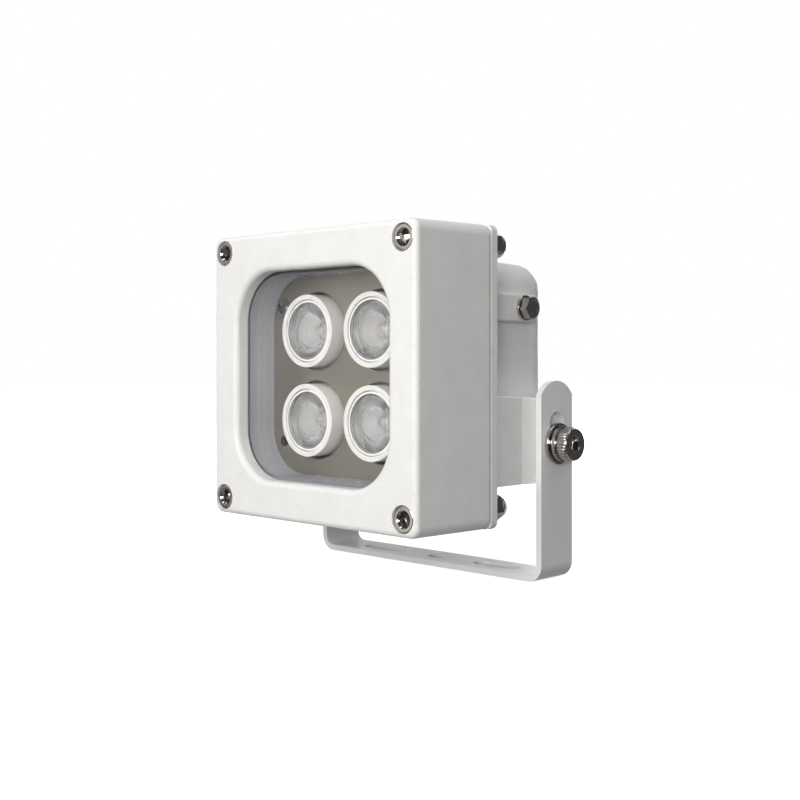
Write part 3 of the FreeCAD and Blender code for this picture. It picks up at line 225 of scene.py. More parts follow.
@dataclass(frozen=True)
class Finish:
    """What every finish has: a plain name, the record's slot and the shader's uniform values."""

    name: str
    slot: str
    colour: str
    roughness: float = 0.4
    metallic: float = 0.0
    ior: float = 1.5

    def material(self) -> bpy.types.Material:
        """Makes the material of this finish, or gives the one that is there already.

        Returns:
            The material.
        """
        known = bpy.data.materials.get(self.name)
        if known:
            return known
        made = bpy.data.materials.new(self.name)
        tree = emptied(made)
        uniform = {"Base Color": linear(self.colour), "Metallic": self.metallic,
                   "Roughness": self.roughness, "IOR": self.ior}
        shader = add_node(tree, "ShaderNodeBsdfPrincipled", uniform | self.pattern(tree))
        add_node(tree, "ShaderNodeOutputMaterial", {
            "Surface": self.surface(tree, shader.outputs["BSDF"]),
        })
        return made

    def pattern(self, tree: Tree) -> Inputs:
        """Inputs of the shader that vary: plain values, or sockets to link from."""
        raise NotImplementedError

    def surface(self, tree: Tree, body: Socket) -> Socket:
        """What goes to the output: the shader alone, unless a finish adds to it."""
        return body

    def place(self, tree: Tree, stretch: Sequence[float] = (1, 1, 1)) -> Socket:
        """Coordinates in metres, stretched for a pattern that runs one way."""
        spot = add_node(tree, "ShaderNodeTexCoord").outputs["Object"]
        return add_node(tree, "ShaderNodeMapping", {"Vector": spot, "Scale": stretch}).outputs["Vector"]

    def noise(self, tree: Tree, size_mm: float, stretch: Sequence[float] = (1, 1, 1),
              detail: float = 2.0) -> Socket:
        """Cloudy pattern with blotches of a real size."""
        return add_node(tree, "ShaderNodeTexNoise", {
            "Vector": self.place(tree, stretch), "Scale": per_metre(size_mm), "Detail": detail,
            "Roughness": 0.55,
        }).outputs["Fac"]

    def spread(self, tree: Tree, source: Socket, low: float, high: float,
               start: float = 0.3, end: float = 0.7) -> Socket:
        """Pattern stretched from start..end to low..high."""
        return add_node(tree, "ShaderNodeMapRange", {
            "Value": source, "From Min": start, "From Max": end, "To Min": low, "To Max": high,
        }).outputs["Result"]

    def gloss(self, tree: Tree, source: Socket, less: float, more: float) -> Socket:
        """Roughness that a pattern varies about the finish's own."""
        return self.spread(tree, source, self.roughness - less, self.roughness + more)

    def tint(self, tree: Tree, source: Socket, darkest: float) -> Socket:
        """Base colour that a pattern darkens down to a share of itself."""
        share = self.spread(tree, source, darkest, 1.0)
        return reckon(tree, "MULTIPLY", linear(self.colour)[:3], share)

    def bump(self, tree: Tree, source: Socket, height_mm: float,
             below: Socket | None = None) -> Socket:
        """Relief of a height from a pattern, over another relief where one is given."""
        inputs = {"Height": source, "Distance": height_mm * MM} | ({"Normal": below} if below else {})
        return add_node(tree, "ShaderNodeBump", inputs).outputs["Normal"]


@dataclass(frozen=True)
class PowderCoat(Finish):
    """Thermoset powder baked on metal: an orange-peel skin with fine grit and faint clouds."""

    # Relief on the castings is drawn about four times as deep as real, to show at the photo's scale
    peel_mm: float = 1.1
    peel_height_mm: float = 0.08
    grit_mm: float = 0.5
    grit_height_mm: float = 0.1
    cloud_mm: float = 9.0
    cloud_darkest: float = 0.95

    def pattern(self, tree: Tree) -> Inputs:
        """Peel and grit as relief, clouds as colour, and a wide peel as gloss.

        Args:
            tree: the material's nodes.

        Returns:
            Inputs of the shader that vary.
        """
        clouds = self.noise(tree, self.cloud_mm, detail=3.0)
        wide = self.noise(tree, self.peel_mm * 2)
        cells = add_node(tree, "ShaderNodeTexVoronoi", {
            "Vector": self.place(tree), "Scale": per_metre(self.grit_mm),
        }, feature="SMOOTH_F1")
        grit = self.spread(tree, cells.outputs["Distance"], 1.0, 0.0, start=0.0, end=0.8)
        fine = self.bump(tree, grit, self.grit_height_mm)
        return {"Base Color": self.tint(tree, clouds, self.cloud_darkest),
                "Roughness": self.gloss(tree, wide, less=0.05, more=0.07),
                "Normal": self.bump(tree, self.noise(tree, self.peel_mm), self.peel_height_mm, fine)}


@dataclass(frozen=True)
class BrushedSheet(Finish):
    """Sheet metal drawn under an abrasive belt: fine straight scratches that run up and down."""

    # Scratches are drawn about three times as wide as real, to show at the photo's scale
    scratch_mm: float = 0.12
    scratch_length_mm: float = 14.0
    scratch_height_mm: float = 0.003
    darkest: float = 0.86

    def pattern(self, tree: Tree) -> Inputs:
        """Scratches as relief, colour and gloss."""
        stretch = (1, 1, self.scratch_mm / self.scratch_length_mm)
        scratches = self.noise(tree, self.scratch_mm, stretch, detail=4.0)
        return {"Base Color": self.tint(tree, scratches, self.darkest),
                "Roughness": self.gloss(tree, scratches, less=0.06, more=0.08),
                "Normal": self.bump(tree, scratches, self.scratch_height_mm)}


@dataclass(frozen=True)
class TurnedSteel(Finish):
    """Bright stainless steel off a lathe: rings about the piece's own axis, and small smears."""

    # Tool rings are drawn about twice as wide as real, to show at the photo's scale
    ring_mm: float = 0.16
    ring_height_mm: float = 0.004
    smear_mm: float = 1.6
    darkest: float = 0.78

    def pattern(self, tree: Tree) -> Inputs:
        """Tool rings as relief, smears as colour and gloss.

        Args:
            tree: the material's nodes.

        Returns:
            Inputs of the shader that vary.
        """
        spot = add_node(tree, "ShaderNodeTexCoord").outputs["Object"]
        flat = reckon(tree, "MULTIPLY", spot, (1, 1, 0))
        rings = add_node(tree, "ShaderNodeTexNoise", {
            "W": reckon(tree, "LENGTH", flat, give="Value"), "Scale": per_metre(self.ring_mm),
            "Detail": 2.0,
        }, noise_dimensions="1D")
        smears = self.noise(tree, self.smear_mm, detail=3.0)
        return {"Base Color": self.tint(tree, smears, self.darkest),
                "Roughness": self.gloss(tree, smears, less=0.06, more=0.1),
                "Normal": self.bump(tree, rings.outputs["Fac"], self.ring_height_mm)}


@dataclass(frozen=True)
class Moulded(Finish):
    """Moulded plastic or rubber: the fine even texture of its tool."""

    grain_mm: float = 0.35
    grain_height_mm: float = 0.006
    darkest: float = 0.94

    def pattern(self, tree: Tree) -> Inputs:
        """Tool texture as relief and gloss, slight flow marks as colour."""
        grain = self.noise(tree, self.grain_mm)
        return {"Base Color": self.tint(tree, self.noise(tree, self.grain_mm * 12), self.darkest),
                "Roughness": self.gloss(tree, grain, less=0.04, more=0.05),
                "Normal": self.bump(tree, grain, self.grain_height_mm)}


@dataclass(frozen=True)
class Clear(Finish):
    """Glass or acrylic: clear through its thickness, with a faint unevenness in its polish.

    Passed is the share of the lamps' light that reaches what lies behind, and skin is how much
    polished surface lies over a body that blurs what is seen through it.
    """

    haze_mm: float = 6.0
    haze: float = 0.02
    passed: str = "FFFFFF"
    skin: float = 0.0
    skin_roughness: float = 0.02

    def pattern(self, tree: Tree) -> Inputs:
        """Full transmission under a polished skin, with an uneven polish."""
        uneven = self.gloss(tree, self.noise(tree, self.haze_mm), less=0.0, more=self.haze)
        return {"Transmission Weight": 1.0, "Coat Weight": self.skin, "Coat IOR": self.ior,
                "Coat Roughness": self.skin_roughness, "Roughness": uneven}

    def surface(self, tree: Tree, body: Socket) -> Socket:
        """Only a light shadow on what lies behind."""
        passed = add_node(tree, "ShaderNodeBsdfTransparent", {"Color": linear(self.passed)})
        return either(tree, seen(tree, "Is Shadow Ray"), body, passed.outputs["BSDF"])


@dataclass(frozen=True)
class Finishes:
    """All the finishes of the lamp. Of two with the same slot, the one that its solids get comes last."""

    # Powder coat on die-cast aluminium: pebbly from the casting under it
    casting: Finish = PowderCoat("powder_coated_casting", "housing_paint", "F0F1EF", 0.42)
    # Powder coat on folded sheet: flatter and smoother than on the castings
    strip: Finish = PowderCoat("powder_coated_strip", "bracket_paint", "EEEFF0", 0.36, peel_mm=1.8,
                               peel_height_mm=0.012, grit_mm=0.6, grit_height_mm=0.005,
                               cloud_darkest=0.98)
    # Wet gloss paint: smooth, so that it mirrors softly; its mid grey is painted shade, darker than the
    # pale paint to stand for the shade inside the window's recess
    frame: Finish = PowderCoat("gloss_frame_darkened_as_painted_shade", "frame_paint", "A8ABB3", 0.22, peel_mm=2.5,
                               peel_height_mm=0.006, grit_mm=0.8, grit_height_mm=0.001,
                               cloud_darkest=0.97)
    # Aluminium sheet, belt-ground: warm grey with soft streaks
    sheet: Finish = BrushedSheet("belt_ground_aluminium", "plate_aluminium", "AAA499", 0.42, metallic=1.0)
    # Stainless steel: a mirror, dark inside the sockets and bright on faces and edges
    steel: Finish = TurnedSteel("turned_stainless_steel", "screw_steel", "C9C4BE", 0.1, metallic=1.0)
    # Toughened soda-lime glass: clear, with a soft sheen of the room
    pane: Finish = Clear("toughened_glass", "window_glass", "FDFDFD", 0.0, ior=1.52, haze=0.01,
                         passed="F5F5F5")
    # Acrylic as the tool's spark-eroded ring leaves it: a milky ring round each lens
    flange: Finish = Moulded("eroded_acrylic", "lens_acrylic", "F2F2F3", 0.35, ior=1.49)
    # Acrylic moulded in a polished tool: bright rims and arcs over a soft grey depth
    lens: Finish = Clear("moulded_acrylic", "lens_acrylic", "F5F5F6", 0.2, ior=1.49, passed="CECED0",
                         skin=1.0)
    # White polycarbonate: even, slightly shiny
    holder: Finish = Moulded("white_polycarbonate", "holder_plastic", "E0E0DE", 0.3, ior=1.58)
    # Silicone rubber with a grey filler: matt, lost between the pane and the casting
    seal: Finish = Moulded("grey_silicone", "seal_silicone", "A6A6A8", 0.55, ior=1.41, grain_mm=0.6)
    # Silicone rubber: matt, a dark line in the seam
    rubber: Finish = Moulded("dark_silicone", "seal_silicone", "3A3A3B", 0.62, ior=1.41, grain_mm=0.6)
    # White solder mask on glass-fibre laminate: even and half glossy
    board: Finish = Moulded("white_solder_mask", "board_laminate", "EDEDE8", 0.35)
    # Black moulded polyamide: satin with a fine grain
    nylon: Finish = Moulded("black_polyamide", "gland_nylon", "1B1B1C", 0.48, ior=1.53)
    # Black moulded polyester: satin
    black: Finish = Moulded("black_polyester", "driver_plastic", "222224", 0.5, ior=1.57)
    # Alumina with a pale phosphor under its dome: cream
    led: Finish = Moulded("phosphor_on_alumina", "led_package", "E6E2D2", 0.3, ior=1.76)

    def by_slot(self) -> dict[str, Finish]:
        """Finish of each of the record's material slots."""
        return {finish.slot: finish for finish in vars(self).values()}


@dataclass(frozen=True)
class Seat:
    """Place of a turned piece: its origin, the way its own +Z points, and its turn about that."""

    spot: Vector
    out: Vector
    spin_deg: float = 0.0

    def matrix(self) -> Matrix:
        """Matrix from the piece's own space to the frame."""
        aim = self.out.to_track_quat("Z", "Y").to_matrix().to_4x4()
        return Matrix.Translation(self.spot) @ aim @ Matrix.Rotation(math.radians(self.spin_deg), 4, "Z")


def softened(corners: Sequence[Corner], closed: bool, steps: int = 5) -> list[tuple[float, float]]:
    """Rounds the corners of a half section.

    Args:
        corners: radius, height and rounding of each corner, in millimetres.
        closed: whether the last corner joins the first.
        steps: points added along each rounding.

    Returns:
        Radius and height of every point of the outline.
    """
    points: list[tuple[float, float]] = []
    count = len(corners)
    for index, (radius, height, rounding) in enumerate(corners):
        at_end = not closed and index in (0, count - 1)
        if rounding == 0 or at_end:
            points.append((radius, height))
            continue
        here = Vector((radius, height))
        back = Vector(corners[index - 1][:2]) - here
        ahead = Vector(corners[(index + 1) % count][:2]) - here
        most = 0.48 * min(back.length, ahead.length)
        reach = min(rounding / math.tan(back.angle(ahead) / 2), most)
        start = here + back.normalized() * reach
        end = here + ahead.normalized() * reach
        for step in range(steps + 1):
            share = step / steps
            spot = start * (1 - share) ** 2 + here * 2 * share * (1 - share) + end * share ** 2
            points.append((spot.x, spot.y))
    return points


def hexagonal(across_flats: float) -> Rule:
    """Radius of a hexagon at each angle in radians, with a corner at angle 0."""
    return lambda angle: across_flats / 2 / math.cos((angle % (math.pi / 3)) - math.pi / 6)


def ridged(crest: float, depth: float, count: int) -> Rule:
    """Radius at each angle of a surface with straight ridges, out to a crest and down by a depth."""
    return lambda angle: crest - depth * (1 - math.cos(angle * count)) / 2


def squared(half: float, power: float = 10.0) -> Rule:
    """Radius at each angle of a square with half its side given; more power sharpens its corners."""
    return lambda angle: half / (abs(math.cos(angle)) ** power
                                 + abs(math.sin(angle)) ** power) ** (1 / power)


def between(start: float, end: float, steps: int) -> list[float]:
    """Values in equal steps from a start to an end, with both of them."""
    return [start + (end - start) * step / steps for step in range(steps + 1)]


class Loft:
    """Mesh of closed loops of points, each joined to the next, in millimetres."""

    def __init__(self) -> None:
        """Starts an empty piece."""
        self.loops: list[list[Vector]] = []

    def mesh(self, name: str, joined: bool = False) -> Mesh:
        """Mesh through all the loops.

        Args:
            name: name of the mesh.
            joined: whether the last loop joins the first; otherwise both ends are closed.

        Returns:
            A closed mesh in metres.
        """
        work = bmesh.new()
        made = [[work.verts.new(spot * MM) for spot in loop] for loop in self.loops]
        pairs = list(zip(made, made[1:]))
        if joined:
            pairs.append((made[-1], made[0]))
        for low, high in pairs:
            for step, vertex in enumerate(low):
                after = (step + 1) % len(low)
                work.faces.new((vertex, low[after], high[after], high[step]))
        if not joined:
            for loop in (made[0], made[-1]):
                if (loop[0].co - loop[len(loop) // 2].co).length > SAME_SPOT:
                    work.faces.new(loop)
        bmesh.ops.remove_doubles(work, verts=work.verts, dist=SAME_SPOT)
        bmesh.ops.dissolve_degenerate(work, edges=work.edges, dist=SAME_SPOT / 10)
        bmesh.ops.recalc_face_normals(work, faces=work.faces)
        mesh = bpy.data.meshes.new(name)
        work.to_mesh(mesh)
        work.free()
        return mesh


@dataclass(frozen=True)
class Thread:
    """Metric thread, and how far the chamfer of its end goes in and along."""

    diameter: float
    pitch: float
    chamfer: float
    tip: float

    @property
    def radius(self) -> float:
        """Outer radius."""
        return self.diameter / 2


class Turned(Loft):
    """Loft of rings about its own +Z axis.

    A thread's depth is a share of its pitch, and its flank and crest say how its groove opens. A
    hexagon's chamfer starts at a share of its inner radius. The shares of a socket are of its width
    across the flats.
    """

    RINGS_A_TURN = 6
    THREAD_DEPTH = 0.55
    THREAD_FLANK = 2.4
    THREAD_CREST = 0.1
    CHAMFER_START = 0.95
    CHAMFER_SLOPE = math.tan(math.radians(30))
    SOCKET_DRILL = 0.46
    SOCKET_CONE = 0.13

    def __init__(self, segments: int = 96) -> None:
        """Starts an empty piece.

        Args:
            segments: points in each ring, a multiple of 12.
        """
        super().__init__()
        self.segments = segments

    def ring(self, radius: float | Rule, height: float | Rule) -> None:
        """Adds one ring.

        Args:
            radius: its radius, or a rule from an angle to one.
            height: its height, or a rule from an angle to one.
        """
        ring = []
        for step in range(self.segments):
            angle = 2 * math.pi * step / self.segments
            across = radius(angle) if callable(radius) else radius
            rise = height(angle) if callable(height) else height
            ring.append(Vector((across * math.cos(angle), across * math.sin(angle), rise)))
        self.loops.append(ring)

    def profile(self, corners: Sequence[Corner], closed: bool = False) -> None:
        """Adds the rings of a half section with rounded corners."""
        for radius, height in softened(corners, closed):
            self.ring(radius, height)

    def arc(self, centre: Sequence[float], radius: float, height: float, angles: Iterable[float]) -> None:
        """Adds rings at angles up an arc of an ellipse, by its centre and half its width and height."""
        for angle in angles:
            self.ring(centre[0] + radius * math.cos(angle), centre[1] + height * math.sin(angle))

    def thread(self, thread: Thread, start: float, end: float) -> None:
        """Adds a helical thread between two heights, with its ends run out.

        Args:
            thread: its sizes.
            start: first height.
            end: last height.
        """
        steps = max(2, round(abs(end - start) / thread.pitch * self.RINGS_A_TURN))
        for step, height in enumerate(between(start, end, steps)):
            depth = self.THREAD_DEPTH * thread.pitch * min(1.0, step / self.RINGS_A_TURN,
                                                           (steps - step) / self.RINGS_A_TURN)

            def radius(angle: float, height: float = height, depth: float = depth) -> float:
                """Radius at one angle of this ring."""
                turn = (height / thread.pitch - angle / (2 * math.pi)) % 1
                groove = self.THREAD_FLANK * abs(turn - 0.5) - self.THREAD_CREST
                return thread.radius - depth * min(1.0, max(0.0, groove))
            self.ring(radius, height)

    def shank(self, thread: Thread, end: float, top: float) -> None:
        """Adds the chamfered end of a thread, and the thread from there up to a height."""
        self.ring(thread.radius - thread.chamfer, end)
        self.thread(thread, end + thread.tip, top)

    def hex_prism(self, across_flats: float, low: float, high: float) -> None:
        """Adds a hexagon with chamfered corners at both ends, as on a rolled or forged head.

        Args:
            across_flats: distance between opposite flats.
            low: its lower end.
            high: its upper end.
        """
        side = hexagonal(across_flats)
        inner = across_flats / 2 * self.CHAMFER_START
        self.ring(inner, low)
        self.ring(side, lambda angle: low + (side(angle) - inner) * self.CHAMFER_SLOPE)
        self.ring(side, lambda angle: high - (side(angle) - inner) * self.CHAMFER_SLOPE)
        self.ring(inner, high)

    def hex_socket(self, across_flats: float, mouth: float, depth: float) -> None:
        """Adds a hexagon socket with a chamfered mouth and a drilled bottom, down to the axis.

        Args:
            across_flats: distance between opposite flats.
            mouth: height of its mouth.
            depth: how far the flats reach below that.
        """
        side = hexagonal(across_flats)
        widest = across_flats / math.sqrt(3) * 1.02
        self.ring(widest, mouth)
        self.ring(side, lambda angle: mouth - 0.05 - (widest - side(angle)) * 0.8)
        self.ring(side, mouth - depth)
        self.ring(across_flats * self.SOCKET_DRILL, mouth - depth)
        self.ring(0.0, mouth - depth - across_flats * self.SOCKET_CONE)


def washer(bore: float, outer: float, thickness: float, roundings: Sequence[float]) -> Turned:
    """Flat ring that stands on its own plane.

    Args:
        bore: diameter of its hole.
        outer: its diameter.
        thickness: its height.
        roundings: of its bore's lower and upper edge, and its outer upper and lower edge.

    Returns:
        The ring.
    """
    ring = Turned()
    ring.profile((
        (bore / 2, 0.0, roundings[0]), (bore / 2, thickness, roundings[1]),
        (outer / 2, thickness, roundings[2]), (outer / 2, 0.0, roundings[3]),
    ), closed=True)
    return ring


def shade(mesh: Mesh, sharp_deg: float = 32.0) -> None:
    """Smooth shading, apart from edges that turn by more than an angle."""
    mesh.polygons.foreach_set("use_smooth", [True] * len(mesh.polygons))
    mesh.set_sharp_from_angle(angle=math.radians(sharp_deg))


def dress(name: str, mesh: Mesh, seat: Seat, finish: Finish, body: str,
          node: str) -> Piece:
    """Puts a mesh in the scene as a finished piece.

    Args:
        name: name of the piece.
        mesh: its mesh, in its own space.
        seat: where it goes.
        finish: its finish.
        body: body that it rides on.
        node: solid that it stands for.

    Returns:
        The piece.
    """
    shade(mesh)
    mesh.materials.append(finish.material())
    piece = add_object(name, mesh)
    piece.matrix_world = seat.matrix()
    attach(piece, body)
    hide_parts(node)
    LOG.info("%s: %d faces, stands for %s", name, len(mesh.polygons), node)
    return piece


def carve(piece: Piece, cutter: Mesh) -> None:
    """Cuts a closed mesh out of a piece, both in the piece's own space.

    Args:
        piece: the piece, already in place.
        cutter: mesh of what is taken away.
    """
    tool = add_object(f"{piece.name}_cutter", cutter)
    tool.matrix_world = piece.matrix_world
    cut = piece.modifiers.new("cut", "BOOLEAN")
    cut.operation = "DIFFERENCE"
    cut.solver = "EXACT"
    cut.object = tool
    bpy.context.view_layer.update()
    result = bpy.data.meshes.new_from_object(piece.evaluated_get(bpy.context.evaluated_depsgraph_get()))
    piece.modifiers.clear()
    piece.data = result
    shade(result)
    bpy.data.objects.remove(tool)


def corner_axis(node: str, half: float, quarter: Quarter, y: float) -> Vector:
    """Place of one of four like pieces that share a node.

    Args:
        node: the node.
        half: half of one piece's width, in millimetres.
        quarter: which of the four.
        y: the place along Y, in metres.

    Returns:
        The point on that piece's axis.
    """
    low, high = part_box(node)
    middle, reach = (low + high) / 2, (high - low) / 2
    across, up = quarter.value
    return Vector((middle.x + across * (reach.x - half * MM), y, middle.z + up * (reach.z - half * MM)))


@dataclass
class Assembly:
    """Group of pieces that belong together."""

    finishes: Finishes

    def build(self) -> None:
        """Makes the pieces of the group."""
        raise NotImplementedError

    def paint(self, *nodes: str) -> None:
        """Gives solids that stay as they are the finish of their slot.

        Args:
            nodes: the solids.
        """
        slots = {row["node"]: row["material_slot"] for row in frame["record"]["subparts"]}
        finishes = self.finishes.by_slot()
        for node in nodes:
            self.coat(node, finishes[slots[node]])

    def coat(self, node: str, finish: Finish) -> None:
        """Gives a solid that stays as it is a finish of its own.

        Args:
            node: the solid.
            finish: the finish.
        """
        for place in frame["nodes"][node].material_slots:
            place.material = finish.material()
        LOG.info("%s: %s", node, finish.name)


@dataclass
class Castings(Assembly):
    """Front and rear castings, their seals, and the folded bracket."""

    def build(self) -> None:
        """Finishes the castings, the seals and the strip."""
        self.paint("front_housing", "rear_housing", "bracket", "housing_gasket")
        self.coat("window_gasket", self.finishes.seal)


@dataclass
class Window(Assembly):
    """Pane, with the painted frame and the lens plate behind it."""

    def build(self) -> None:
        """Finishes the pane, the frame and the plate."""
        self.paint("window_glass", "inner_frame", "lens_plate")


@dataclass
class Electronics(Assembly):
    """Boards, heat plate and driver, which the castings close in."""

    def build(self) -> None:
        """Finishes the inner pieces."""
        self.paint("led_board", "heat_plate", "heat_plate_screws", "plate_pillars", "driver_board",
                   "driver_parts", "driver_pillars", "terminal_block")


@dataclass
class LensUnit(Assembly):
    """Collimator lens of one quarter, in its holder over its light source."""

    quarter: Quarter
    holder_radius: float = 14.5
    holder_height: float = 16.8
    lip: float = 0.35
    lip_bore: float = 25.0
    bore: float = 23.5
    shoulder: float = 2.4
    floor: float = 1.5
    light_hole: float = 12.0
    rim_radius: float = 12.2
    rim_bevel: float = 0.3
    step: float = 0.5
    step_radius: float = 11.95
    milky_radius: float = 11.5
    mouth_radius: float = 11.2
    bubble_radius: float = 5.6
    bubble_top: float = 0.4
    bubble_rise: float = 1.1
    bubble_foot: float = 0.3
    bubble_sink: float = 0.2
    trough: float = 2.6
    trough_out: float = 1.4
    ridge_out: float = 2.6
    ridge_height: float = 0.45
    groove_out: float = 3.1
    groove_height: float = 0.1
    slope_in: float = 1.2
    slope_height: float = 0.6
    neck_radius: float = 11.4
    throat_radius: float = 4.5
    flank: float = 20.0
    length: float = 13.0
    pocket_radius: float = 3.2
    pocket_depth: float = 4.5
    pocket_crown: float = 0.4
    led_width: float = 3.5
    led_base: float = 0.8
    led_dome: float = 1.4
    led_edge: float = 0.08
    led_fillet: float = 0.06

    def build(self) -> None:
        """Makes the holder, the lens and the light source."""
        self.holder()
        self.lens()
        self.light_source()

    def seat(self) -> Seat:
        """Place on the lens's axis where the front of the holder's lip lies."""
        low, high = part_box(f"lens_holder_{self.quarter.word}")
        return Seat(Vector(((low.x + high.x) / 2, low.y, (low.z + high.z) / 2)), FRONT)

    def holder(self) -> None:
        """Moulded cup with a seat for the lens inside its lip."""
        cup = Turned(144)
        cup.profile((
            (self.lip_bore / 2, -self.shoulder, 0.1),
            (self.lip_bore / 2, 0.0, 0.25),
            (self.holder_radius, 0.0, self.lip),
            (self.holder_radius, -self.holder_height, 0.2),
            (self.light_hole / 2, -self.holder_height, 0.1),
            (self.light_hole / 2, self.floor - self.holder_height, 0.2),
            (self.bore / 2, self.floor - self.holder_height, 0.8),
            (self.bore / 2, -self.shoulder, 0.2),
        ), closed=True)
        name = f"lens_holder_{self.quarter.word}"
        dress(f"{name}_cup", cup.mesh(name, joined=True), self.seat(), self.finishes.holder, "head", name)

    def lens(self) -> None:
        """Collimator: bowl with a bubble and a ridge in it, stepped rim, flared flank and pocket."""
        body = Turned(192)
        sphere = (self.bubble_radius ** 2 + self.bubble_rise ** 2) / (2 * self.bubble_rise)
        for radius in between(0.0, self.bubble_radius, 14)[:-1]:
            body.ring(radius, -self.bubble_top - sphere + math.sqrt(sphere ** 2 - radius ** 2))
        body.profile((
            (self.bubble_radius * 0.96, -self.bubble_top - self.bubble_rise * 0.92, 0.0),
            (self.bubble_radius + self.bubble_foot,
             -self.bubble_top - self.bubble_rise - self.bubble_sink, 0.6),
            (self.bubble_radius + self.trough_out, -self.trough, 1.0),
            (self.bubble_radius + self.ridge_out, -self.trough + self.ridge_height, 0.5),
            (self.bubble_radius + self.groove_out, -self.trough + self.groove_height, 0.4),
            (self.mouth_radius - self.slope_in, -self.trough + self.slope_height, 2.0),
            (self.mouth_radius, -self.step, 0.15),
            (self.milky_radius - 0.1, -self.step, 0.0),
            (self.step_radius, -self.step, 0.1),
            (self.rim_radius, -self.step - self.rim_bevel, 0.2),
            (self.rim_radius, -self.shoulder, 0.1),
            (self.neck_radius, -self.shoulder, 0.0),
        ))
        self.flank_rings(body)
        body.profile((
            (self.throat_radius, -self.length, 0.0),
            (self.pocket_radius, -self.length, 0.1),
            (self.pocket_radius, -self.length + self.pocket_depth / 2, 0.8),
            (self.pocket_radius * 0.6, -self.length + self.pocket_depth - self.pocket_crown, 1.2),
            (0.0, -self.length + self.pocket_depth, 0.0),
        ))
        name = f"lens_{self.quarter.word}"
        optic = dress(f"{name}_optic", body.mesh(name), self.seat(), self.finishes.lens, "head", name)
        optic.data.materials.append(self.finishes.flange.material())
        for face in optic.data.polygons:
            if face.center.xy.length > self.milky_radius * MM and face.center.z > -self.shoulder * MM:
                face.material_index = 1

    def flank_rings(self, body: Turned) -> None:
        """Adds the flared flank of a lens, an arc that bulges outwards.

        Args:
            body: the lens, up to its neck.
        """
        start = Vector((self.neck_radius, -self.shoulder))
        end = Vector((self.throat_radius, -self.length))
        chord = end - start
        inward = Vector((chord.y, -chord.x)).normalized()
        rise = math.sqrt(self.flank ** 2 - (chord.length / 2) ** 2)
        centre = (start + end) / 2 + inward * rise
        first = math.atan2(start.y - centre.y, start.x - centre.x)
        last = math.atan2(end.y - centre.y, end.x - centre.x)
        body.arc(centre, self.flank, self.flank, between(first, last, 16)[1:-1])

    def light_source(self) -> None:
        """Square ceramic base with a clear dome over its phosphor."""
        half = self.led_width / 2
        source = Turned(48)
        source.ring(squared(half), 0.0)
        source.ring(squared(half), self.led_base - self.led_edge)
        source.ring(squared(half - self.led_edge), self.led_base)
        source.ring(self.led_dome + self.led_fillet, self.led_base)
        source.arc((0.0, self.led_base), self.led_dome, self.led_dome, between(0.0, math.pi / 2, 8))
        seat = Seat(corner_axis("leds", half, self.quarter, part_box("leds")[1].y), FRONT)
        name = f"led_{self.quarter.word}"
        dress(name, source.mesh(name), seat, self.finishes.led, "head", "leds")


@dataclass
class PlateScrews(Assembly):
    """Pan-head screws with a cross recess that hold the lens plate, on one diagonal."""

    head: float = 8.0
    head_height: float = 2.6
    edge: float = 0.8
    thread: Thread = Thread(4.0, 0.7, chamfer=0.5, tip=0.6)
    length: float = 8.0
    recess_length: float = 4.2
    recess_width: float = 1.2
    recess_depth: float = 1.5

    def build(self) -> None:
        """Makes both screws, each turned another way."""
        for quarter, spin in ((Quarter.TOP_LEFT, 22.0), (Quarter.BOTTOM_RIGHT, 61.0)):
            screw = Turned()
            radius = self.head / 2
            screw.arc((0.0, self.edge), radius, self.head_height - self.edge,
                      between(math.pi / 2, 0.0, 10)[:-1])
            screw.profile((
                (radius, self.edge, 0.0),
                (radius, self.edge * 0.4, 0.2),
                (radius - 0.25, 0.0, 0.15),
                (self.thread.radius, 0.0, 0.0),
            ))
            screw.thread(self.thread, -0.1, -self.length + self.thread.tip)
            screw.ring(self.thread.radius - self.thread.chamfer, -self.length)
            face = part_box("lens_plate")[0].y
            seat = Seat(corner_axis("plate_screws", radius, quarter, face), FRONT, spin)
            name = f"plate_screw_{quarter.word}"
            piece = dress(name, screw.mesh(name), seat, self.finishes.steel, "head", "plate_screws")
            carve(piece, self.cross())

    def cross(self) -> Mesh:
        """Makes the cross recess: wide at its mouth and narrow below.

        Returns:
            Mesh of the space that it takes away.
        """
        cross = Loft()
        # Level and share of its size over its mouth, under its taper and on its floor
        for level, share in ((self.head_height + 0.2, 1.08), (self.head_height - 0.4, 1.0),
                             (self.head_height - self.recess_depth, 0.62)):
            far = self.recess_length / 2 * share
            near = self.recess_width / 2 * (0.5 + share / 2)
            corners = ((far, -near), (far, near), (near, near), (near, far), (-near, far), (-near, near),
                       (-far, near), (-far, -near), (-near, -near), (-near, -far), (near, -far),
                       (near, -near))
            cross.loops.append([Vector((x, y, level)) for x, y in corners])
        return cross.mesh("cross_recess")


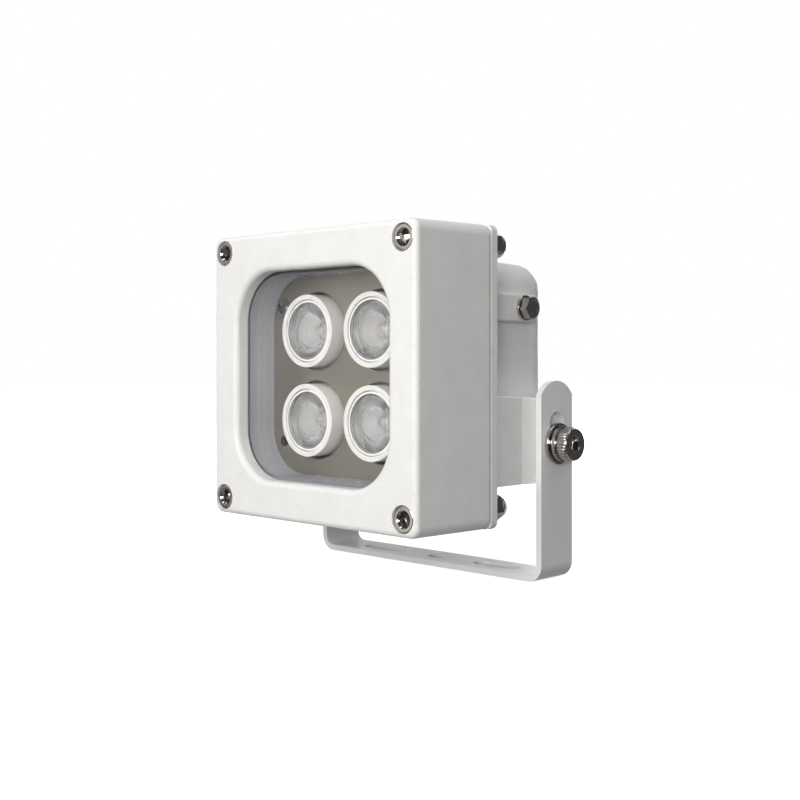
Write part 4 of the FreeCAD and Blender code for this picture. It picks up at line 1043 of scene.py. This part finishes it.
@dataclass
class CornerBolt(Assembly):
    """Socket screw through a corner pillar, with a dome nut behind the flange, each at its own turn."""

    quarter: Quarter
    screw_spin: float
    nut_spin: float
    head: float = 9.8
    head_height: float = 6.0
    edge: float = 0.55
    socket: float = 5.0
    socket_depth: float = 3.0
    socket_edge: float = 0.4
    thread: Thread = Thread(6.0, 1.0, chamfer=0.6, tip=0.7)
    plain: float = 21.0
    nut: float = 10.0
    nut_hex: float = 6.5
    nut_dome: float = 9.5
    nut_height: float = 12.0
    nut_bore: float = 6.1
    nut_bore_depth: float = 9.0

    def build(self) -> None:
        """Makes the screw and the nut."""
        self.screw()
        self.dome_nut()

    def screw(self) -> None:
        """Socket-head cap screw: plain under the head, threaded at its end."""
        low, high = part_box("front_screws")
        length = (high.y - low.y) / MM
        radius = self.head / 2
        screw = Turned()
        screw.shank(self.thread, -length, -self.head_height - self.plain)
        screw.profile((
            (self.thread.radius, 0.1 - self.head_height - self.plain, 0.0),
            (self.thread.radius, -self.head_height, 0.3),
            (radius, -self.head_height, 0.2),
            (radius, 0.0, self.edge),
            (self.socket / math.sqrt(3) + self.socket_edge, 0.0, 0.05),
            (self.socket / math.sqrt(3), -self.socket_edge, 0.0),
        ))
        screw.hex_socket(self.socket, -self.socket_edge - 0.05, self.socket_depth)
        seat = Seat(corner_axis("front_screws", radius, self.quarter, low.y), FRONT, self.screw_spin)
        name = f"front_screw_{self.quarter.word}"
        dress(name, screw.mesh(name), seat, self.finishes.steel, "head", "front_screws")

    def dome_nut(self) -> None:
        """Dome nut: hexagon with a ball end, threaded from the flange side."""
        ball = self.nut_dome / 2
        nut = Turned()
        nut.ring(0.0, self.nut_bore_depth + 1.2)
        nut.profile((
            (self.nut_bore / 2 - 0.3, self.nut_bore_depth, 0.0),
            (self.nut_bore / 2, self.nut_bore_depth - 0.4, 0.0),
            (self.nut_bore / 2, 0.5, 0.0),
            (self.nut_bore / 2 + 0.5, 0.0, 0.0),
        ))
        nut.hex_prism(self.nut, 0.0, self.nut_hex)
        nut.ring(ball + 0.05, self.nut_hex)
        nut.ring(ball, self.nut_hex + 0.1)
        nut.arc((0.0, self.nut_height - ball), ball, ball, between(0.0, math.pi / 2, 12))
        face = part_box("dome_nuts")[0].y
        seat = Seat(corner_axis("front_screws", self.head / 2, self.quarter, face), REAR, self.nut_spin)
        name = f"dome_nut_{self.quarter.word}"
        dress(name, nut.mesh(name), seat, self.finishes.steel, "head", "dome_nuts")


@dataclass
class EarthTerminal(Assembly):
    """Hexagon screw with its washer on the side boss."""

    head: float = 8.0
    head_height: float = 3.5
    thread: Thread = Thread(5.0, 0.8, chamfer=0.4, tip=0.5)
    length: float = 7.0
    dish: float = 5.6
    dish_depth: float = 0.3
    washer: float = 10.0
    washer_bore: float = 5.3
    washer_thickness: float = 1.0

    def build(self) -> None:
        """Makes the screw and the washer."""
        low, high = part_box("earth_washer")
        middle = (low + high) / 2
        out = Side.RIGHT.out
        ring = washer(self.washer_bore, self.washer, self.washer_thickness, (0.1, 0.15, 0.35, 0.08))
        dress("earth_washer_ring", ring.mesh("earth_washer", joined=True),
              Seat(Vector((low.x, middle.y, middle.z)), out), self.finishes.steel, "head", "earth_washer")
        screw = Turned()
        screw.shank(self.thread, -self.length, -0.3)
        screw.ring(self.thread.radius, 0.0)
        screw.hex_prism(self.head, 0.0, self.head_height)
        screw.profile((
            (self.dish / 2 + self.dish_depth, self.head_height, 0.0),
            (self.dish / 2, self.head_height - self.dish_depth, 0.2),
            (0.0, self.head_height - 0.45, 0.0),
        ))
        dress("earth_screw_hexagon", screw.mesh("earth_screw"),
              Seat(Vector((high.x, middle.y, middle.z)), out, 8.0), self.finishes.steel,
              "head", "earth_screw")


@dataclass
class Clamp(Assembly):
    """Knurled clamp bolt of one ear, with its spring washer and flat washer."""

    side: Side
    head: float = 13.0
    head_height: float = 5.0
    knurls: int = 36
    knurl_depth: float = 0.35
    edge: float = 0.8
    socket: float = 5.0
    socket_depth: float = 3.0
    thread: Thread = Thread(8.0, 1.25, chamfer=0.7, tip=0.8)
    length: float = 16.0
    flat: float = 16.0
    flat_thickness: float = 1.6
    bore: float = 8.4
    spring: float = 13.8
    spring_thickness: float = 2.0
    spring_lift: float = 0.24
    spring_cut: float = 1.0

    def build(self) -> None:
        """Makes the bolt and both washers."""
        self.bolt()
        self.flat_washer()
        self.spring_washer()

    def seat(self, node: str, spin: float = 0.0) -> Seat:
        """Seat on the tilt axis where a node's face towards the head lies, turned by degrees."""
        low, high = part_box(node)
        return Seat(Vector((min(low.x, high.x, key=abs), 0.0, (low.z + high.z) / 2)), self.side.out, spin)

    def bolt(self) -> None:
        """Cap screw with a knurled head and a hexagon socket."""
        seat = self.seat(f"clamp_bolt_{self.side.word}", 17.0)
        radius = self.head / 2
        under = self.length
        face = under + self.head_height
        knurl = ridged(radius, self.knurl_depth, self.knurls)
        bolt = Turned(144)
        bolt.shank(self.thread, 0.0, under - 1.0)
        bolt.profile((
            (self.thread.radius, under - 0.7, 0.0),
            (self.thread.radius, under, 0.3),
            (radius - self.knurl_depth, under, 0.0),
        ))
        bolt.ring(radius - self.knurl_depth, under + 0.3)
        bolt.ring(knurl, under + 0.55)
        bolt.ring(knurl, face - self.edge - 0.25)
        bolt.profile((
            (radius - self.knurl_depth, face - self.edge, 0.0),
            (radius - self.knurl_depth, face, self.edge),
            (self.socket / math.sqrt(3) + 0.25, face, 0.0),
        ))
        bolt.hex_socket(self.socket, face - 0.15, self.socket_depth)
        name = f"clamp_bolt_{self.side.word}"
        dress(f"{name}_knurled", bolt.mesh(name), seat, self.finishes.steel, "clamp", name)

    def flat_washer(self) -> None:
        """Stamped washer: its outer edge is rounder on one face."""
        ring = washer(self.bore, self.flat, self.flat_thickness, (0.1, 0.25, 0.45, 0.12))
        name = f"flat_washer_{self.side.word}"
        dress(f"{name}_ring", ring.mesh(name, joined=True), self.seat(name), self.finishes.steel,
              "clamp", name)

    def spring_washer(self) -> None:
        """Split ring whose ends stand a little apart along the axis."""
        half_cut = self.spring_cut / 2 / (self.spring / 2)
        thickness = self.spring_thickness - self.spring_lift
        section = softened((
            (self.bore / 2, 0.0, 0.15), (self.spring / 2, 0.0, 0.25),
            (self.spring / 2, thickness, 0.25), (self.bore / 2, thickness, 0.15),
        ), closed=True, steps=3)
        ring = Loft()
        for share in between(0.0, 1.0, 90):
            angle = half_cut + (2 * math.pi - 2 * half_cut) * share
            lift = self.spring_lift * share
            ring.loops.append([Vector((radius * math.cos(angle), radius * math.sin(angle), height + lift))
                               for radius, height in section])
        name = f"spring_washer_{self.side.word}"
        dress(f"{name}_split", ring.mesh(name), self.seat(name, -60.0), self.finishes.steel, "clamp", name)


@dataclass
class Gland(Assembly):
    """Cable gland in the rear wall: threaded body, cap nut, seal and locknut."""

    hexagon: float = 20.0
    hexagon_height: float = 5.0
    thread: Thread = Thread(16.0, 1.5, chamfer=0.9, tip=0.6)
    neck: float = 14.6
    neck_height: float = 6.0
    bore: float = 8.0
    throat: float = 11.4
    throat_floor: float = 3.0
    cap_hexagon: float = 20.0
    cap_height: float = 13.0
    cap_round: float = 4.0
    cap_crown: float = 7.0
    cap_lip: float = 2.0
    cap_chamfer: float = 0.96
    cap_slope: float = 1.5
    mouth: float = 11.0
    hollow: float = 14.7

    def build(self) -> None:
        """Makes the body and the cap, and finishes the seal and the locknut."""
        self.paint("gland_seal", "gland_locknut")
        self.body()
        self.cap()

    def seat(self, y: float) -> Seat:
        """Seat on the gland's axis, at a place along Y, in metres."""
        low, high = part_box("gland_body")
        return Seat(Vector(((low.x + high.x) / 2, y, (low.z + high.z) / 2)), REAR, 90.0)

    def body(self) -> None:
        """Hexagon flange with a thread through the wall and a neck under the cap."""
        body = Turned()
        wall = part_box("gland_nut")[0].y - self.hexagon_height * MM
        inside = (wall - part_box("gland_body")[0].y) / MM
        top = self.hexagon_height + self.neck_height
        body.ring(self.bore / 2, -inside)
        body.shank(self.thread, -inside, -0.4)
        body.ring(self.thread.radius, 0.0)
        body.hex_prism(self.hexagon, 0.0, self.hexagon_height)
        body.profile((
            (self.neck / 2, self.hexagon_height, 0.0),
            (self.neck / 2, top, 0.3),
            (self.throat / 2, top, 0.2),
            (self.throat / 2, self.hexagon_height + self.throat_floor, 0.3),
            (self.bore / 2, self.hexagon_height + self.throat_floor, 0.0),
        ))
        dress("gland_body_moulding", body.mesh("gland_body", joined=True), self.seat(wall),
              self.finishes.nylon, "head", "gland_body")

    def cap(self) -> None:
        """Cap nut: a hexagon that runs out into a round crown with the cable's mouth."""
        side = hexagonal(self.cap_hexagon)
        foot = self.cap_hexagon / 2 * self.cap_chamfer
        edge = self.cap_crown + self.cap_round
        base = self.cap_height - self.cap_round

        def crown(radius: float) -> float:
            """Height of the crown at one radius."""
            if radius > edge:
                return base - (radius - edge) * self.cap_slope
            return base + math.sqrt(max(0.0, self.cap_round ** 2 - (radius - self.cap_crown) ** 2))

        cap = Turned()
        cap.profile((
            (self.hollow / 2, self.cap_height - self.cap_lip, 0.0),
            (self.hollow / 2, 0.0, 0.0),
            (foot, 0.0, 0.0),
        ))
        cap.ring(side, lambda angle: (side(angle) - foot) / 2)
        for step in between(0.0, 1.0, 8):
            def inward(angle: float, share: float = step ** 1.5) -> float:
                """Radius between the flats and the crown's top."""
                return side(angle) * (1 - share) + self.cap_crown * share
            cap.ring(inward, lambda angle, inward=inward: crown(inward(angle)))
        cap.profile((
            (self.cap_crown, self.cap_height, 0.0),
            (self.mouth / 2 + 0.4, self.cap_height, 0.3),
            (self.mouth / 2, self.cap_height - 0.4, 0.3),
            (self.mouth / 2, self.cap_height - self.cap_lip, 0.0),
        ))
        seat = self.seat(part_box("gland_nut")[0].y)
        dress("gland_nut_cap", cap.mesh("gland_nut", joined=True), seat, self.finishes.nylon,
              "head", "gland_nut")


@dataclass(frozen=True)
class Softbox:
    """Square lamp with a diffuser, aimed at the head."""

    name: str
    azimuth_deg: float
    elevation_deg: float
    size: float
    level: float
    tint: str = "FFFFFF"
    in_glass: bool = False
    distance: float = 1.0

    def build(self, target: Vector) -> None:
        """Puts the lamp up.

        The level is what a white face square to it would show from this lamp alone. A lamp that
        glass lets through as a shadow ray isn't seen a second time by the rays that glass bends.

        Args:
            target: point that it is aimed at.
        """
        azimuth = math.radians(self.azimuth_deg)
        elevation = math.radians(self.elevation_deg)
        away = Vector((math.sin(azimuth) * math.cos(elevation), -math.cos(azimuth) * math.cos(elevation),
                       math.sin(elevation)))
        lamp = bpy.data.lights.new(self.name, "AREA")
        lamp.shape = "SQUARE"
        lamp.size = self.size
        lamp.energy = self.level * math.pi ** 2 * self.distance ** 2
        lamp.color = linear(self.tint)[:3]
        holder = add_object(self.name, lamp)
        holder.location = target + away * self.distance
        holder.visible_transmission = self.in_glass
        holder.rotation_euler = away.to_track_quat("Z", "Y").to_euler()


@dataclass(frozen=True)
class Patch:
    """Light part of the room round one direction, which only metal and glass mirror."""

    out: tuple[float, float, float]
    level: float
    start: float
    end: float
    upright: float = 1.0

    def light(self, tree: Tree) -> Socket:
        """Makes the light of the patch in each direction.

        It begins at one cosine from the patch's direction and is full at another. A low upright
        share makes heights count less, which gives an upright strip.

        Args:
            tree: the world's nodes.

        Returns:
            The light's level.
        """
        spot = add_node(tree, "ShaderNodeTexCoord").outputs["Generated"]
        aim = reckon(tree, "NORMALIZE", reckon(tree, "MULTIPLY", spot, (1, 1, self.upright)))
        return add_node(tree, "ShaderNodeMapRange", {
            "Value": reckon(tree, "DOT_PRODUCT", aim, self.out, give="Value"),
            "From Min": self.start, "From Max": self.end, "To Min": 0.0, "To Max": self.level,
        }, interpolation_type="SMOOTHSTEP").outputs["Result"]


@dataclass
class Studio:
    """White table, soft lamps, room and camera."""

    floor_size: float = 6.0
    floor_drop: float = 0.0002
    camera_spot: tuple[float, float, float] = (0.338694, -0.385262, 0.086721)
    camera_turn_deg: tuple[float, float, float] = (90.0, 0.0, 45.025)
    lens_mm: float = 54.61
    sensor_mm: float = 36.0
    shift: tuple[float, float] = (0.0497, -0.0548)
    world_level: float = 0.16
    world_tint: str = "F0F2FF"
    dim_level: float = 0.08
    table_colour: str = "7C7C7C"
    table_shown: str = "E0E0E0"
    table_glow: float = 0.9
    patches: tuple[Patch, ...] = (
        # White backdrop behind the lamp
        Patch((-0.707, 0.707, 0.0), 1.0, 0.35, 0.8),
        # Strip light that the knurls and washers mirror
        Patch((-0.588, -0.809, 0.0), 1.0, 0.99, 0.9965, upright=0.35),
        # Two fields that the corner screws mirror, over and under what the pane mirrors
        Patch((-0.684, -0.708, 0.174), 0.9, 0.9945, 0.9962),
        Patch((-0.679, -0.704, -0.208), 0.9, 0.9945, 0.9962),
        # Pale wall that the lens plate mirrors
        Patch((-0.789, -0.552, 0.27), 0.45, 0.85, 0.985),
        # Table top, which is hidden from metal and glass to keep its edge off the lens plate
        Patch((0.0, 0.0, -1.0), 0.25, 0.4, 0.95),
    )
    lamps: tuple[Softbox, ...] = (
        # Two in front, low down, light the window's side; the others model the rest softly
        Softbox("key", 5.0, 13.0, 0.4, 0.54, "FFFCF8"),
        Softbox("low", 36.0, 8.0, 0.3, 0.31, "FFFCF8"),
        Softbox("side", 90.0, 30.0, 0.5, 0.05),
        Softbox("rear", 205.0, 6.0, 0.25, 0.22),
        Softbox("top", 100.0, 80.0, 0.5, 0.3),
        # Small lamps that the lenses throw back as sparks
        Softbox("spark_left", -60.0, 36.0, 0.16, 0.06, in_glass=True),
        Softbox("spark_front", 30.0, 8.0, 0.12, 0.04, in_glass=True),
        Softbox("spark_high", -20.0, 55.0, 0.2, 0.06, in_glass=True),
    )

    def build(self) -> None:
        """Sets up all that isn't part of the lamp."""
        self.camera()
        self.floor()
        self.world()
        low, high = CAD_BOX
        target = (Vector(low) + Vector(high)) / 2
        for lamp in self.lamps:
            lamp.build(target)
        bpy.context.scene.view_settings.view_transform = "Standard"

    def camera(self) -> None:
        """Camera at the photograph's angle."""
        data = bpy.data.cameras.new("camera")
        data.lens = self.lens_mm
        data.sensor_width = self.sensor_mm
        data.shift_x, data.shift_y = self.shift
        data.clip_start = 0.01
        camera = add_object("camera", data)
        camera.location = self.camera_spot
        camera.rotation_euler = [math.radians(turn) for turn in self.camera_turn_deg]
        bpy.context.scene.camera = camera

    def floor(self) -> None:
        """White table top that stays white in the picture and keeps a faint shadow.

        Metal and glass see the room's patch for it instead.
        """
        half = self.floor_size / 2
        mesh = bpy.data.meshes.new("floor")
        mesh.from_pydata([(-half, -half, 0), (half, -half, 0), (half, half, 0), (-half, half, 0)], [],
                         [(0, 1, 2, 3)])
        table = add_object("floor", mesh)
        table.location = (0, 0, -self.floor_drop)
        table.visible_glossy = False
        table.visible_transmission = False
        paint = bpy.data.materials.new("white_table_top")
        tree = emptied(paint)
        real, shadow = (add_node(tree, "ShaderNodeBsdfDiffuse", {"Color": linear(code)}).outputs["BSDF"]
                        for code in (self.table_colour, self.table_shown))
        glow = add_node(tree, "ShaderNodeEmission", {"Strength": self.table_glow})
        white = add_node(tree, "ShaderNodeAddShader", {0: shadow, 1: glow.outputs["Emission"]})
        add_node(tree, "ShaderNodeOutputMaterial", {
            "Surface": either(tree, seen(tree, "Is Camera Ray"), real, white.outputs["Shader"]),
        })
        mesh.materials.append(paint)

    def world(self) -> None:
        """Soft room light; metal and glass see a white backdrop, a pale wall and a dim room."""
        world = bpy.data.worlds.new("room")
        bpy.context.scene.world = world
        tree = emptied(world)
        level = self.dim_level
        for patch in self.patches:
            level = brightest(tree, level, patch.light(tree))
        room, mirrored, white = (
            add_node(tree, "ShaderNodeBackground", {"Color": linear(tint), "Strength": strength})
            .outputs["Background"]
            for tint, strength in ((self.world_tint, self.world_level), ("FFFFFF", level), ("FFFFFF", 1.0))
        )
        lit = either(tree, seen(tree, "Is Glossy Ray", "Is Transmission Ray"), room, mirrored)
        add_node(tree, "ShaderNodeOutputWorld", {
            "Surface": either(tree, seen(tree, "Is Camera Ray"), lit, white),
        })


def main() -> None:
    """Builds the lamp and its studio, and reports each piece."""
    logging.basicConfig(level=logging.INFO, format="%(name)s: %(message)s")
    finishes = Finishes()
    groups = [Castings(finishes), Window(finishes), *(LensUnit(finishes, quarter) for quarter in Quarter),
              PlateScrews(finishes), CornerBolt(finishes, Quarter.TOP_LEFT, 12.0, 6.0),
              CornerBolt(finishes, Quarter.TOP_RIGHT, 37.0, 24.0),
              CornerBolt(finishes, Quarter.BOTTOM_LEFT, 51.0, 41.0),
              CornerBolt(finishes, Quarter.BOTTOM_RIGHT, 3.0, 14.0), EarthTerminal(finishes),
              Electronics(finishes), Gland(finishes), *(Clamp(finishes, side) for side in Side)]
    for group in groups:
        group.build()
    Studio().build()


if __name__ == "__main__":
    main()
    bpy.context.view_layer.update()
